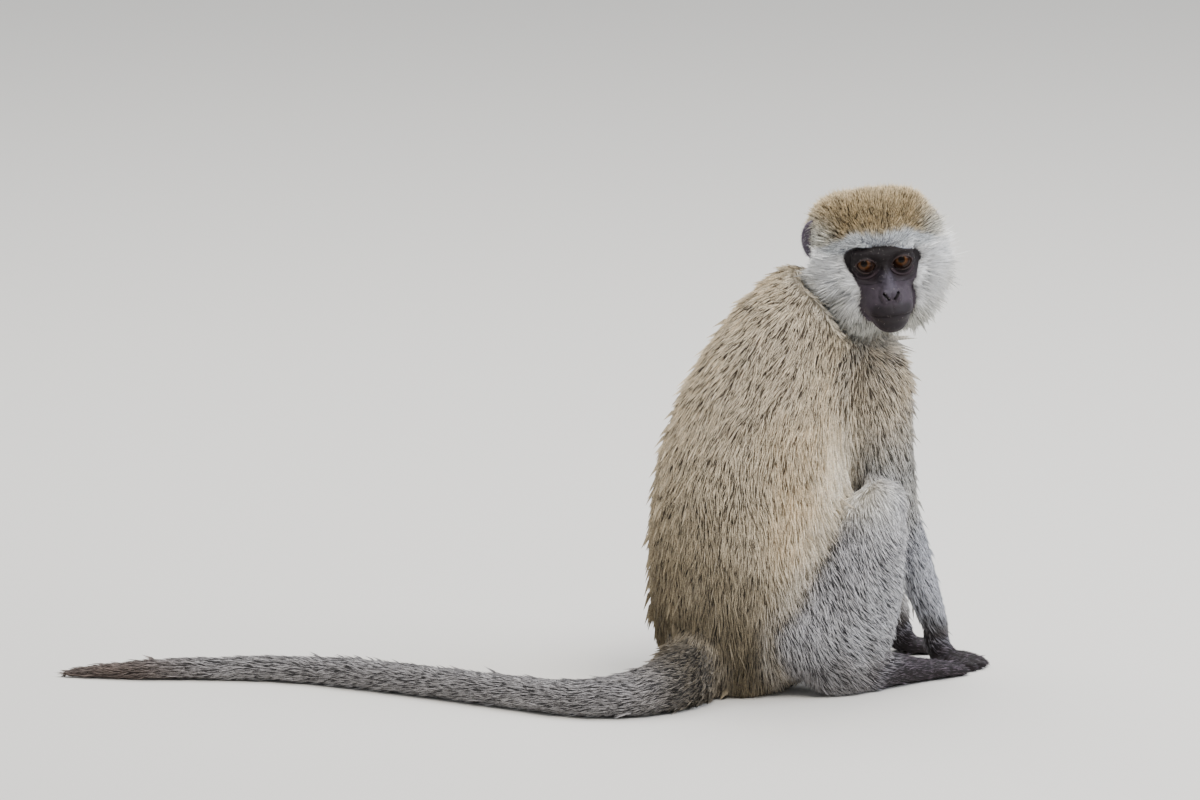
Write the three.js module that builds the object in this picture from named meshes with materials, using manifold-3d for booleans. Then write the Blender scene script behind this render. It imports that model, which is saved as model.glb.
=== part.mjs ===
// A vervet monkey sitting on the floor, life size, as a still museum model, looking back over its right shoulder.
// Millimetres. +X is forward from the hips, +Y the animal's left, +Z up. The origin is on the floor, under the seat.
// Every solid reaches out to the tips of the coat. Solids that meet keep a gap of GAP between them.
import * as THREE from "three";
import { mergeVertices } from "three/addons/utils/BufferGeometryUtils.js";
import Module from "manifold-3d";

const wasm = await Module();
wasm.setup();

// ---- Driving dimensions ----
const GAP = 0.3;
const SIDES = { right: -1, left: 1 };

// Trunk, from the seat to the base of the neck: height, forward place, half depth (belly to back), half width.
const TRUNK = [
  { z: 24, x: -14, depth: 57, width: 57 },
  { z: 60, x: -14, depth: 69, width: 67 },
  { z: 110, x: -10, depth: 77, width: 70 },
  { z: 165, x: -1, depth: 83, width: 67 },
  { z: 215, x: 14, depth: 77, width: 61 },
  { z: 258, x: 39, depth: 69, width: 54 },
  { z: 286, x: 66, depth: 60, width: 47 },
];
const SEAT_DROP = 34; // how far the rounded bottom would reach under the first section, before the floor cuts it

// The head turns on the neck until it faces back over the right shoulder.
const HEAD = {
  at: [98.3, -36.3, 336.7],
  yaw: -114,
  pitch: 5,
  roll: 3.5,
};

// Joints of the right limbs; the left ones mirror them except where LEFT says otherwise.
const HIP = [-6, 38, 53];
const KNEE = [80, 66, 147];
const ANKLE = [77, 70, 30];
const HEEL = [58, 75, 12];
const FOOT_TURN = 11; // degrees that the toes point inwards
const SHOULDER = { right: [92, 40, 250], left: [104, 38, 248] };
const ELBOW = { right: [113, 39, 136], left: [124, 42, 136] };
const WRIST = { right: [163, 27, 34], left: [166, 30, 34] };
const HAND_TURN = { right: 48, left: 12 }; // degrees that the fingers point outwards

// Tail on the floor: plan points of its middle line with the coat's half thickness there.
const TAIL = [
  { x: -46, y: 2, r: 30 },
  { x: -78, y: -24, r: 27 },
  { x: -112, y: -46, r: 23.5 },
  { x: -148, y: -48, r: 20 },
  { x: -182, y: -26, r: 16.5 },
  { x: -204, y: 22, r: 14.8 },
  { x: -230, y: 90, r: 14 },
  { x: -258, y: 155, r: 13.6 },
  { x: -290, y: 215, r: 12 },
  { x: -338, y: 262, r: 10.4 },
  { x: -388, y: 298, r: 8.8 },
  { x: -426, y: 332, r: 5 },
];
const TAIL_LENGTHS = 5;
const SINK = 1.5; // how much of the tail the floor flattens

// Head forms in the head's own frame: x forward, y left, z up, from the middle of the line between the ears.
const EYE = { at: [30.5, 15.2, 10], r: 9.5 };
const EAR = { at: [-14, 48, 19], height: 36, width: 25, thick: 3.4, cup: 5, swing: -36, lean: -8 };
// The muzzle in upright sections from inside the coat to the lips: forward place, top, bottom, half width.
const MUZZLE = [
  { x: 20, top: 4, bottom: -38, width: 24 },
  { x: 38, top: 3, bottom: -41, width: 23 },
  { x: 50, top: -2, bottom: -42.5, width: 21.5 },
  { x: 60, top: -6, bottom: -41.5, width: 20.5 },
  { x: 67, top: -11, bottom: -38.5, width: 17.5 },
  { x: 72, top: -15.5, bottom: -33, width: 12 },
];
const NOSE = { from: [27, 0, 11], to: [58, 0, -14.5], width: [8, 11], height: [11, 10.5] };
const FACE_FORMS = [
  { name: "orbits", at: [22, 0, 3], r: [18.5, 31, 20.5] },
  { name: "brow", at: [21, 0, 24], r: [21.5, 31.5, 14] },
];
// The coat around the face: rounded forms, all seen from COAT_CENTRE and joined at its power.
const COAT_CENTRE = [0, 0, 2];
const COAT_BLEND = 12;
const COAT_FORMS = [
  { name: "crown", at: [-12, 0, 16], r: [46, 49, 42.5] },
  { name: "occiput", at: [-30, 21, 22], r: [27, 26, 30], paired: true },
  { name: "temple", at: [-8, 26, 20], r: [38, 28, 34], paired: true },
  { name: "cheek", at: [2, 34, -1], r: [28, 28, 27], paired: true },
  { name: "jowl", at: [14, 17, -28], r: [27, 27, 26], paired: true },
  { name: "nape", at: [-26, 0, -8], r: [30, 42, 42] },
  { name: "throat", at: [18, 0, -30], r: [33, 28, 24] },
  { name: "forehead", at: [6, 0, 24], r: [31, 36, 25] },
];

const COLOURS = {
  back: 0x93836a,
  crown: 0x8a7452,
  flank: 0xa3967c,
  limb: 0x86827c,
  paw: 0x2e272a,
  tail: 0x74706b,
  tail_tip: 0x6b5346,
  ear: 0x4a4148,
  eye: 0x7a4a1c,
};

const rad = THREE.MathUtils.degToRad;
const vec = (p) => new THREE.Vector3(...p);
const onSide = (p, side) => new THREE.Vector3(p[0], p[1] * SIDES[side], p[2]);

// ---- Making and joining solids ----

/** A closed three.js geometry as a manifold solid. */
function solidOf(geometry) {
  const bare = new THREE.BufferGeometry().setAttribute("position", geometry.getAttribute("position").clone());
  if (geometry.index) bare.setIndex(geometry.index.clone());
  const merged = mergeVertices(bare, 1e-3);
  return new wasm.Manifold(
    new wasm.Mesh({
      numProp: 3,
      vertProperties: new Float32Array(merged.attributes.position.array),
      triVerts: new Uint32Array(merged.index.array),
    }),
  );
}

/** A manifold solid as a three.js geometry, in the frame of the group that will hold it. */
function geometryOf(solid, group) {
  const mesh = solid.getMesh();
  const geometry = new THREE.BufferGeometry();
  geometry.setAttribute("position", new THREE.BufferAttribute(new Float32Array(mesh.vertProperties), 3));
  geometry.setIndex(new THREE.BufferAttribute(new Uint32Array(mesh.triVerts), 1));
  geometry.applyMatrix4(group.matrixWorld.clone().invert());
  geometry.computeVertexNormals();
  return geometry;
}

/** The largest body of a solid that a cut has left in pieces. */
function largest(solid) {
  return solid.decompose().reduce((best, body) => (body.volume() > best.volume() ? body : best));
}

/** Closes rings of equal length into a skin, with one point beyond each end. */
function skinOfRings(rings, firstPole, lastPole) {
  const count = rings[0].length;
  const points = [firstPole, ...rings.flat(), lastPole];
  const index = [];
  const at = (ring, i) => 1 + ring * count + (i % count);
  for (let i = 0; i < count; i++) {
    index.push(0, at(0, i + 1), at(0, i));
    for (let ring = 0; ring < rings.length - 1; ring++) {
      const [a, b, c, d] = [at(ring, i), at(ring, i + 1), at(ring + 1, i + 1), at(ring + 1, i)];
      index.push(a, b, c, a, c, d);
    }
    index.push(points.length - 1, at(rings.length - 1, i), at(rings.length - 1, i + 1));
  }
  const geometry = new THREE.BufferGeometry().setFromPoints(points);
  return geometry.setIndex(index);
}

/**
 * A limb-like form through stations { p, wide, deep }: oval sections along a smooth curve, with domed ends.
 * wide is the half size along across, deep the half size square to it; grow adds to both.
 */
function loft(stations, { across, sides, steps, start = 1, end = 1, domeRings = [2, 2], grow = 0 }) {
  const line = new THREE.CatmullRomCurve3(stations.map((s) => s.p));
  const sizes = new THREE.CatmullRomCurve3(stations.map((s) => new THREE.Vector3(s.wide, s.deep, 0)));
  const ringAt = (t, along, shrink) => {
    const tangent = line.getTangent(t);
    const side = across.clone().addScaledVector(tangent, -across.dot(tangent)).normalize();
    const front = new THREE.Vector3().crossVectors(tangent, side);
    const centre = line.getPoint(t).addScaledVector(tangent, along);
    const size = sizes.getPoint(t);
    const ring = [];
    for (let i = 0; i < sides; i++) {
      const angle = (2 * Math.PI * i) / sides;
      ring.push(
        centre
          .clone()
          .addScaledVector(side, Math.cos(angle) * (size.x + grow) * shrink)
          .addScaledVector(front, Math.sin(angle) * (size.y + grow) * shrink),
      );
    }
    return { ring, centre };
  };
  const domeOf = (t, length, sign, count) => {
    const size = sizes.getPoint(t);
    const reach = Math.min(size.x, size.y) * length + grow;
    const rings = Array.from({ length: count }, (_, k) => {
      const angle = ((k + 1) * Math.PI) / (2 * count + 2);
      return ringAt(t, sign * reach * Math.sin(angle), Math.cos(angle)).ring;
    });
    return { rings, pole: ringAt(t, sign * reach, 0).centre };
  };
  const first = domeOf(0, start, -1, domeRings[0]);
  const last = domeOf(1, end, 1, domeRings[1]);
  const body = Array.from({ length: steps + 1 }, (_, k) => ringAt(k / steps, 0, 1).ring);
  return solidOf(skinOfRings([...first.rings.reverse(), ...body, ...last.rings], first.pole, last.pole));
}

const station = (p, wide, deep = wide) => ({ p, wide, deep });

// ---- Head ----

/** How far a ray from the coat's centre runs until it last leaves an oval form, or 0 where it misses it. */
function exitOf(form, direction) {
  const scale = vec(form.r);
  const from = vec(COAT_CENTRE).sub(vec(form.at)).divide(scale);
  const ray = direction.clone().divide(scale);
  const [a, b, c] = [ray.lengthSq(), from.dot(ray), from.lengthSq() - 1];
  const root = b * b - a * c;
  return root < 0 ? 0 : Math.max(0, (-b + Math.sqrt(root)) / a);
}

const bothSides = (forms) =>
  forms.flatMap((f) => (f.paired ? [f, { ...f, at: [f.at[0], -f.at[1], f.at[2]] }] : [f]));

/** The head's coat, from the brow and the cheeks back to the nape. */
function headCoat(grow) {
  const forms = bothSides(COAT_FORMS);
  const globe = new THREE.SphereGeometry(1, 28, 18);
  globe.rotateZ(-Math.PI / 2);
  const position = globe.getAttribute("position");
  for (let i = 0; i < position.count; i++) {
    const direction = new THREE.Vector3().fromBufferAttribute(position, i).normalize();
    const sum = forms.reduce((total, form) => total + exitOf(form, direction) ** COAT_BLEND, 0);
    direction.multiplyScalar(sum ** (1 / COAT_BLEND) + grow).add(vec(COAT_CENTRE));
    position.setXYZ(i, direction.x, direction.y, direction.z);
  }
  return solidOf(globe);
}

/** An oval form about its own centre. */
function ovalSolid({ at, r }, grow) {
  const oval = new THREE.SphereGeometry(1, 14, 8);
  return solidOf(oval.scale(r[0] + grow, r[1] + grow, r[2] + grow).translate(...at));
}

/** The bare face: orbits, brow ridge, nose and muzzle. */
function faceSolid(grow) {
  const muzzle = MUZZLE.map(({ x, top, bottom, width }) =>
    station(new THREE.Vector3(x, 0, (top + bottom) / 2), width, (top - bottom) / 2),
  );
  const nose = [0, 1].map((k) => station(vec(k ? NOSE.to : NOSE.from), NOSE.width[k], NOSE.height[k]));
  const across = vec([0, 1, 0]);
  return FACE_FORMS.map((form) => ovalSolid(form, grow)).reduce(
    (face, form) => face.add(form),
    loft(muzzle, { across, sides: 18, steps: 6, end: 0.4, grow }).add(
      loft(nose, { across, sides: 10, steps: 2, end: 0.8, grow }),
    ),
  );
}

function headSolid(grow) {
  return headCoat(grow).add(faceSolid(grow)).transform(headGroup.matrixWorld.elements);
}

function eyeSolid(side, grow) {
  const ball = new THREE.SphereGeometry(EYE.r + grow, 11, 8);
  ball.translate(...onSide(EYE.at, side).toArray());
  return solidOf(ball.applyMatrix4(headGroup.matrixWorld));
}

/** A rounded, cupped auricle that stands out and back from the temple. */
function earSolid(side, grow) {
  const ear = new THREE.SphereGeometry(1, 10, 7);
  ear.scale(EAR.width / 2 + grow, EAR.thick / 2 + grow, EAR.height / 2 + grow);
  const position = ear.getAttribute("position");
  for (let i = 0; i < position.count; i++) {
    const [x, z] = [position.getX(i) / (EAR.width / 2), position.getZ(i) / (EAR.height / 2)];
    position.setY(i, position.getY(i) + EAR.cup * (x * x + 0.4 * z * z - 0.5));
  }
  ear.rotateZ(rad(EAR.swing)).rotateX(rad(EAR.lean)).translate(...EAR.at);
  if (side === "right") {
    ear.scale(1, -1, 1);
    ear.setIndex(Array.from(ear.index.array).reverse());
  }
  return solidOf(ear.applyMatrix4(headGroup.matrixWorld));
}

// ---- Trunk, neck and tail ----

function trunkSolid(grow) {
  const stations = TRUNK.map((s) => station(new THREE.Vector3(s.x, 0, s.z), s.width, s.depth));
  return loft(stations, { across: vec([0, 1, 0]), sides: 18, steps: 9, start: SEAT_DROP / TRUNK[0].width, grow });
}

function neckSolid(grow) {
  const [x, y, z] = HEAD.at;
  const stations = [
    station(vec([58, 0, 262]), 48, 56),
    station(vec([80, -5, 296]), 39, 49),
    station(vec([x, y + 12, z - 8]), 34, 40),
  ];
  return loft(stations, { across: vec([0, 1, 0]), sides: 14, steps: 3, start: 0.5, end: 0.3, grow });
}

function tailSolid(grow) {
  const stations = TAIL.map((s) => station(new THREE.Vector3(s.x, s.y, s.r - SINK), s.r, s.r));
  return loft(stations, { across: vec([0, 0, 1]), sides: 9, steps: 20, end: 2.2, grow });
}

/** The tail in TAIL_LENGTHS lengths, parted by thin cuts square to its line. */
function tailLengths() {
  const line = new THREE.CatmullRomCurve3(TAIL.map((s) => new THREE.Vector3(s.x, s.y, s.r)));
  let whole = tailSolid(0);
  for (let k = 1; k < TAIL_LENGTHS; k++) {
    const cut = new THREE.BoxGeometry(120, 120, GAP);
    const turn = new THREE.Quaternion().setFromUnitVectors(vec([0, 0, 1]), line.getTangentAt(k / TAIL_LENGTHS));
    cut.applyQuaternion(turn).translate(...line.getPointAt(k / TAIL_LENGTHS).toArray());
    whole = whole.subtract(solidOf(cut));
  }
  const nearEnd = (body) => {
    const box = body.boundingBox();
    return line.points[0].distanceTo(vec(box.min).lerp(vec(box.max), 0.5));
  };
  return whole.decompose().sort((a, b) => nearEnd(a) - nearEnd(b));
}

// ---- Legs ----

function thighSolid(side, grow) {
  const [hip, knee] = [onSide(HIP, side), onSide(KNEE, side)];
  const between = (t, [x, y, z]) => hip.clone().lerp(knee, t).add(onSide([x, y, z], side));
  const stations = [
    station(hip, 42, 50),
    station(between(0.35, [9, 3, -12]), 38, 56),
    station(between(0.7, [4, 1, -6]), 30, 42),
    station(knee, 24, 25),
  ];
  return loft(stations, { across: onSide([0.15, 1, 0], side), sides: 11, steps: 4, start: 0.8, grow });
}

function shinSolid(side, grow) {
  const [knee, ankle] = [onSide(KNEE, side), onSide(ANKLE, side)];
  const between = (t, x) => knee.clone().lerp(ankle, t).add(new THREE.Vector3(x, 0, 0));
  const stations = [
    station(between(0.04, 1), 22, 23),
    station(between(0.35, -9), 24, 33),
    station(between(0.7, -22), 24, 42),
    station(between(1, -39), 23, 42),
  ];
  return loft(stations, { across: onSide([0, 1, 0], side), sides: 11, steps: 4, start: 0.8, end: 1.45, grow });
}

/** One finger or toe, bent down at its middle so that its pad lies on the floor. */
function digit({ base, heading, length, radius, grow }) {
  const dir = new THREE.Vector3(Math.cos(heading), Math.sin(heading), 0);
  const along = (t, z) => base.clone().addScaledVector(dir, length * t).setZ(z);
  const stations = [
    station(along(0, base.z), radius, radius),
    station(along(0.45, base.z * 0.5 + radius * 0.75), radius * 0.96, radius * 0.96),
    station(along(1, radius * 0.82 - 0.4), radius * 0.8, radius * 0.8),
  ];
  return loft(stations, { across: vec([0, 0, 1]), sides: 6, steps: 2, domeRings: [0, 1], grow });
}

/**
 * A hand or foot: a flattened palm or sole from the wrist or heel to the knuckles, with four digits in a fan
 * and a thumb or great toe set back on the inner edge.
 */
function pawSolid({ root, knuckles, heading, spread, digits, thumb, palm, side, grow }) {
  const inward = -SIDES[side];
  const across = new THREE.Vector3(-Math.sin(heading), Math.cos(heading), 0);
  let paw = loft(palm, { across, sides: 10, steps: 3, domeRings: [1, 0], grow });
  digits.forEach((length, k) => {
    const place = k - (digits.length - 1) / 2;
    const turn = heading - inward * place * spread.angle;
    const base = knuckles.clone().addScaledVector(across, -inward * place * spread.width);
    paw = paw.add(digit({ base, heading: turn, length, radius: spread.radius, grow }));
  });
  const thumbBase = root.clone().lerp(knuckles, thumb.back).addScaledVector(across, inward * thumb.out);
  const thumbHeading = heading + inward * rad(thumb.turn);
  paw = paw.add(
    digit({ base: thumbBase.setZ(thumb.z), heading: thumbHeading, length: thumb.length, radius: spread.radius, grow }),
  );
  return paw;
}

function footSolid(side, grow) {
  const inward = -SIDES[side];
  const heading = inward * rad(FOOT_TURN);
  const dir = new THREE.Vector3(Math.cos(heading), Math.sin(heading), 0);
  const heel = onSide(HEEL, side);
  const along = (t, z) => heel.clone().addScaledVector(dir, t).setZ(z);
  const palm = [
    station(along(0, 13), 14, 13.5),
    station(along(22, 15), 15, 15.5),
    station(along(48, 11), 15, 11.5),
    station(along(68, 8), 15.5, 8.5),
  ];
  return pawSolid({
    root: along(20, 8),
    knuckles: along(70, 7.5),
    heading,
    palm,
    side,
    grow,
    digits: [33, 36, 35, 30],
    spread: { width: 8.2, radius: 5.2, angle: rad(4) },
    thumb: { back: 0.5, out: 10, turn: 34, length: 30, z: 7.5 },
  });
}

// ---- Arms ----

function upperArmSolid(side, grow) {
  const [shoulder, elbow] = [onSide(SHOULDER[side], side), onSide(ELBOW[side], side)];
  const between = (t, x) => shoulder.clone().lerp(elbow, t).add(new THREE.Vector3(x, 0, 0));
  const stations = [
    station(between(-0.02, -3), 24, 30),
    station(between(0.3, -4), 25.5, 33),
    station(between(0.65, -4), 23, 30),
    station(elbow, 20, 23.5),
  ];
  return loft(stations, { across: onSide([0, 1, 0], side), sides: 11, steps: 3, start: 1.05, end: 0.8, grow });
}

function forearmSolid(side, grow) {
  const [elbow, wrist] = [onSide(ELBOW[side], side), onSide(WRIST[side], side)];
  const between = (t) => elbow.clone().lerp(wrist, t);
  const stations = [
    station(between(0.02), 19.5, 21.5),
    station(between(0.35), 17.5, 19),
    station(between(0.7), 14.5, 15.5),
    station(between(1), 12, 12.5),
  ];
  return loft(stations, { across: onSide([0, 1, 0], side), sides: 11, steps: 3, start: 0.8, end: 0.7, grow });
}

function handSolid(side, grow) {
  const heading = SIDES[side] * rad(HAND_TURN[side]);
  const dir = new THREE.Vector3(Math.cos(heading), Math.sin(heading), 0);
  const wrist = onSide(WRIST[side], side);
  const along = (t, z) => wrist.clone().addScaledVector(dir, t).setZ(z);
  const palm = [
    station(along(0, 28), 11, 10.5),
    station(along(2, 16), 13, 10),
    station(along(8, 9), 15, 9),
  ];
  return pawSolid({
    root: along(0, 8),
    knuckles: along(10, 7),
    heading,
    palm,
    side,
    grow,
    digits: [24, 28.5, 28, 24],
    spread: { width: 7.6, radius: 4.8, angle: rad(6) },
    thumb: { back: 0.2, out: 9, turn: 38, length: 21, z: 7 },
  });
}

// ---- The model ----

const root = new THREE.Group();
const group = (at, rotation = new THREE.Euler()) => {
  const made = new THREE.Group();
  made.position.copy(at);
  made.rotation.copy(rotation);
  root.add(made);
  made.updateMatrixWorld(true);
  return made;
};
const headGroup = group(
  vec(HEAD.at),
  new THREE.Euler(rad(HEAD.roll), rad(HEAD.pitch), rad(HEAD.yaw), "ZYX"),
);
const bodyGroup = group(new THREE.Vector3());

const finish = (colour, roughness = 0.9) =>
  new THREE.MeshStandardMaterial({ color: COLOURS[colour], roughness, metalness: 0 });

// In this order each piece is cut by all that come before it, so that neighbours meet without overlap.
const pieces = [];
const add = (name, holder, colour, make, roughness) => pieces.push({ name, holder, colour, make, roughness });
for (const side of ["right", "left"]) {
  add(`eye_${side}`, headGroup, "eye", (grow) => eyeSolid(side, grow), 0.15);
  add(`ear_${side}`, headGroup, "ear", (grow) => earSolid(side, grow));
}
add("head", headGroup, "crown", headSolid);
add("trunk", bodyGroup, "back", trunkSolid);
add("neck", bodyGroup, "back", neckSolid);
for (const side of ["right", "left"]) {
  const leg = group(onSide(HIP, side));
  const arm = group(onSide(SHOULDER[side], side));
  add(`thigh_${side}`, leg, "flank", (grow) => thighSolid(side, grow));
  add(`shin_${side}`, leg, "limb", (grow) => shinSolid(side, grow));
  add(`foot_${side}`, leg, "paw", (grow) => footSolid(side, grow), 0.7);
  add(`upper_arm_${side}`, arm, "flank", (grow) => upperArmSolid(side, grow));
  add(`forearm_${side}`, arm, "limb", (grow) => forearmSolid(side, grow));
  add(`hand_${side}`, arm, "paw", (grow) => handSolid(side, grow), 0.7);
}

const floor = solidOf(new THREE.BoxGeometry(1400, 1400, 200).translate(0, 0, -100));
const grown = [];
for (const { name, holder, colour, make, roughness } of pieces) {
  const cut = grown.reduce((solid, cutter) => solid.subtract(cutter), make(0).subtract(floor));
  grown.push(make(GAP));
  const mesh = new THREE.Mesh(geometryOf(largest(cut), holder), finish(colour, roughness));
  mesh.name = name;
  holder.add(mesh);
}
tailLengths().forEach((length, k) => {
  const cut = grown.reduce((solid, cutter) => solid.subtract(cutter), length.subtract(floor));
  const colour = k === TAIL_LENGTHS - 1 ? "tail_tip" : "tail";
  const mesh = new THREE.Mesh(geometryOf(largest(cut), bodyGroup), finish(colour));
  mesh.name = `tail_${k + 1}`;
  bodyGroup.add(mesh);
});

export default root;
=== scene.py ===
"""A vervet monkey sitting on the floor, as a museum's life-size still model.

One skin covers the whole body, with the head sculpted in millimetres in its own frame. Over it come the eyes,
the nails and a coat of mesh tufts in pieces by region. Skin and coat take their colours from the same fields.
"""

import logging
import math
from dataclasses import dataclass, field
from enum import Enum, IntEnum
from typing import Callable, Sequence

import bpy
import numpy as np
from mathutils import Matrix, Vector
from mathutils.bvhtree import BVHTree


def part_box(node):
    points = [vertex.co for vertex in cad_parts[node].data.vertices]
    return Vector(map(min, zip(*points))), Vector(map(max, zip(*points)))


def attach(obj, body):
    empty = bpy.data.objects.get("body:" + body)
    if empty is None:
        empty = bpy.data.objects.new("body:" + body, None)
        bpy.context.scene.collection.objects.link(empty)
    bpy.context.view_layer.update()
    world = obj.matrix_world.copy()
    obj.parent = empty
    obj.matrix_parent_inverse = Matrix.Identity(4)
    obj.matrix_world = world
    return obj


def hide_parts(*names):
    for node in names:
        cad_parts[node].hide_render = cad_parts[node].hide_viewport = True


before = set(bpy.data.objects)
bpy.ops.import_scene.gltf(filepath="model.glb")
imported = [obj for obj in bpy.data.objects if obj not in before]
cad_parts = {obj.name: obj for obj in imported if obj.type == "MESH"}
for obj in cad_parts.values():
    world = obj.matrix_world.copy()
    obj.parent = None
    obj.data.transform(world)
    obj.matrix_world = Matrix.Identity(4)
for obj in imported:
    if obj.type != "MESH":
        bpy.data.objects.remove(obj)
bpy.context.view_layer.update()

log = logging.getLogger("vervet")
Array = np.ndarray
Object, Mesh, Material, Socket = bpy.types.Object, bpy.types.Mesh, bpy.types.Material, bpy.types.NodeSocket
Course = tuple[tuple[float, float], ...]
MM = 0.001
SIDES = {"right": -1.0, "left": 1.0}
FLESH_LIMBS = ("thigh", "shin", "foot", "upper_arm", "forearm", "hand")
TAIL_NODES = tuple(f"tail_{k}" for k in range(1, 6))
HEAD_NODES = ("head", "ear_right", "ear_left")
BAKE_MAP = "OFBake"
# the skin and the hair end this far above the floor, in metres
SKIN_FLOOR = 0.0003
HAIR_FLOOR = 0.0002


# ---- Small tools ----


def linear(code: str) -> tuple[float, float, float]:
    """The linear colour of an sRGB hex code such as "8a7452"."""
    parts = (int(code[i : i + 2], 16) / 255 for i in (0, 2, 4))
    return tuple(c / 12.92 if c <= 0.04045 else ((c + 0.055) / 1.055) ** 2.4 for c in parts)


def smoothstep(low: float, high: float, value: Array) -> Array:
    """0 below low, 1 above high and a smooth rise between them."""
    t = np.clip((value - low) / (high - low), 0.0, 1.0)
    return t * t * (3 - 2 * t)


def bell(value: Array, width: float) -> Array:
    """1 where value is 0, falling smoothly to nothing a few widths to either side."""
    return np.exp(-np.square(value / width))


def folded(points: Array) -> Array:
    """The points with the right side folded onto the left, so that y is never negative."""
    return np.column_stack([points[:, 0], np.abs(points[:, 1]), points[:, 2]])


def unit(vectors: Array) -> Array:
    """The vectors at length one."""
    return vectors / np.maximum(np.linalg.norm(vectors, axis=-1, keepdims=True), 1e-12)


def turned(yaw: float, pitch: float, roll: float) -> Array:
    """The matrix that rolls about X, then pitches about Y, then yaws about Z, in degrees."""
    y, p, r = np.radians([yaw, pitch, roll])
    about_z = np.array([[np.cos(y), -np.sin(y), 0], [np.sin(y), np.cos(y), 0], [0, 0, 1]])
    about_y = np.array([[np.cos(p), 0, np.sin(p)], [0, 1, 0], [-np.sin(p), 0, np.cos(p)]])
    about_x = np.array([[1, 0, 0], [0, np.cos(r), -np.sin(r)], [0, np.sin(r), np.cos(r)]])
    return about_z @ about_y @ about_x


def ripple(points: Array, size: float, seed: int) -> Array:
    """A smooth pattern between -1 and 1 whose bumps are about size across.

    Args:
        points: Places, (n, 3).
        size: The distance between bumps, in the unit of the points.
        seed: Which of many like patterns.

    Returns:
        One value for each point.
    """
    rng = np.random.default_rng(seed)
    total = np.zeros(len(points))
    for _ in range(5):
        wave = unit(rng.normal(size=3)) * rng.uniform(0.6, 1.5) * 2 * np.pi / size
        total += np.sin(points @ wave + rng.uniform(0, 2 * np.pi))
    return np.clip(total / 2.6, -1, 1)


def new_object(name: str, mesh: Mesh) -> Object:
    """Puts a mesh into the scene as an object at the origin."""
    made = bpy.data.objects.new(name, mesh)
    bpy.context.scene.collection.objects.link(made)
    return made


def only(obj: Object) -> None:
    """Makes an object the one that is active and selected."""
    bpy.ops.object.select_all(action="DESELECT")
    obj.select_set(True)
    bpy.context.view_layer.objects.active = obj


def primitive(kind: str, name: str, **settings: object) -> Object:
    """Adds one of the ready-made meshes under a name, alone selected."""
    bpy.ops.object.select_all(action="DESELECT")
    getattr(bpy.ops.mesh, f"primitive_{kind}_add")(**settings)
    made = bpy.context.active_object
    made.name = name
    return made


def joined(objects: Sequence[Object], name: str) -> Object:
    """Joins objects into the first one, under a name."""
    bpy.ops.object.select_all(action="DESELECT")
    for obj in objects:
        obj.select_set(True)
    bpy.context.view_layer.objects.active = objects[0]
    bpy.ops.object.join()
    made = bpy.context.active_object
    made.name = name
    return made


def edit_vertices(obj: Object, chosen: Array, act: Callable[[], object]) -> None:
    """Does something to an object in edit mode with only some of its vertices selected."""
    only(obj)
    bpy.ops.object.mode_set(mode="EDIT")
    bpy.ops.mesh.select_mode(type="VERT")
    bpy.ops.mesh.select_all(action="DESELECT")
    bpy.ops.object.mode_set(mode="OBJECT")
    obj.data.vertices.foreach_set("select", chosen)
    bpy.ops.object.mode_set(mode="EDIT")
    bpy.ops.mesh.select_mode(type="VERT")
    act()
    bpy.ops.object.mode_set(mode="OBJECT")


def wear(obj: Object, finish: Material, slot: str) -> None:
    """Gives a piece its material, on the one body."""
    obj.data.materials.append(finish)
    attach(obj, "root")


def modify(obj: Object, kind: str, **settings: object) -> None:
    """Adds a modifier with its settings and applies it."""
    only(obj)
    modifier = obj.modifiers.new(kind.title(), kind)
    for name, value in settings.items():
        setattr(modifier, name, value)
    bpy.ops.object.modifier_apply(modifier=modifier.name)


def read(items: bpy.types.bpy_prop_collection, name: str, width: int, kind: type = np.float32) -> Array:
    """One property of all items, a row for each."""
    flat = np.empty(len(items) * width, kind)
    items.foreach_get(name, flat)
    return flat.reshape(-1, width)


def places(mesh: Mesh) -> Array:
    """The mesh's vertices, (n, 3)."""
    return read(mesh.vertices, "co", 3).astype(np.float64)


def set_places(mesh: Mesh, points: Array) -> None:
    """Moves the mesh's vertices."""
    mesh.vertices.foreach_set("co", np.ascontiguousarray(points, np.float32).ravel())
    mesh.update()


def normals_of(mesh: Mesh) -> Array:
    """The mesh's vertex normals, (n, 3)."""
    return read(mesh.vertex_normals, "vector", 3).astype(np.float64)


def edges_of(mesh: Mesh) -> Array:
    """The mesh's edges as pairs of vertices, (n, 2)."""
    return read(mesh.edges, "vertices", 2, np.int32)


def faces_of(mesh: Mesh) -> Array:
    """The faces of a mesh of triangles as vertex numbers, (n, 3)."""
    return read(mesh.polygons, "vertices", 3, np.int32)


def spread(values: Array, edges: Array, rounds: int) -> Array:
    """Averages values over neighbouring vertices.

    Args:
        values: One row for each vertex, (n, k).
        edges: Pairs of neighbours.
        rounds: How many times they are averaged.

    Returns:
        The smoothed values.
    """
    count = len(values)
    first, second = edges.T
    degree = np.bincount(first, minlength=count) + np.bincount(second, minlength=count)
    values = values.copy()
    for _ in range(rounds):
        for k in range(values.shape[1]):
            total = np.bincount(first, weights=values[second, k], minlength=count)
            total += np.bincount(second, weights=values[first, k], minlength=count)
            values[:, k] = 0.5 * values[:, k] + 0.5 * total / np.maximum(degree, 1)
    return values


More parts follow.
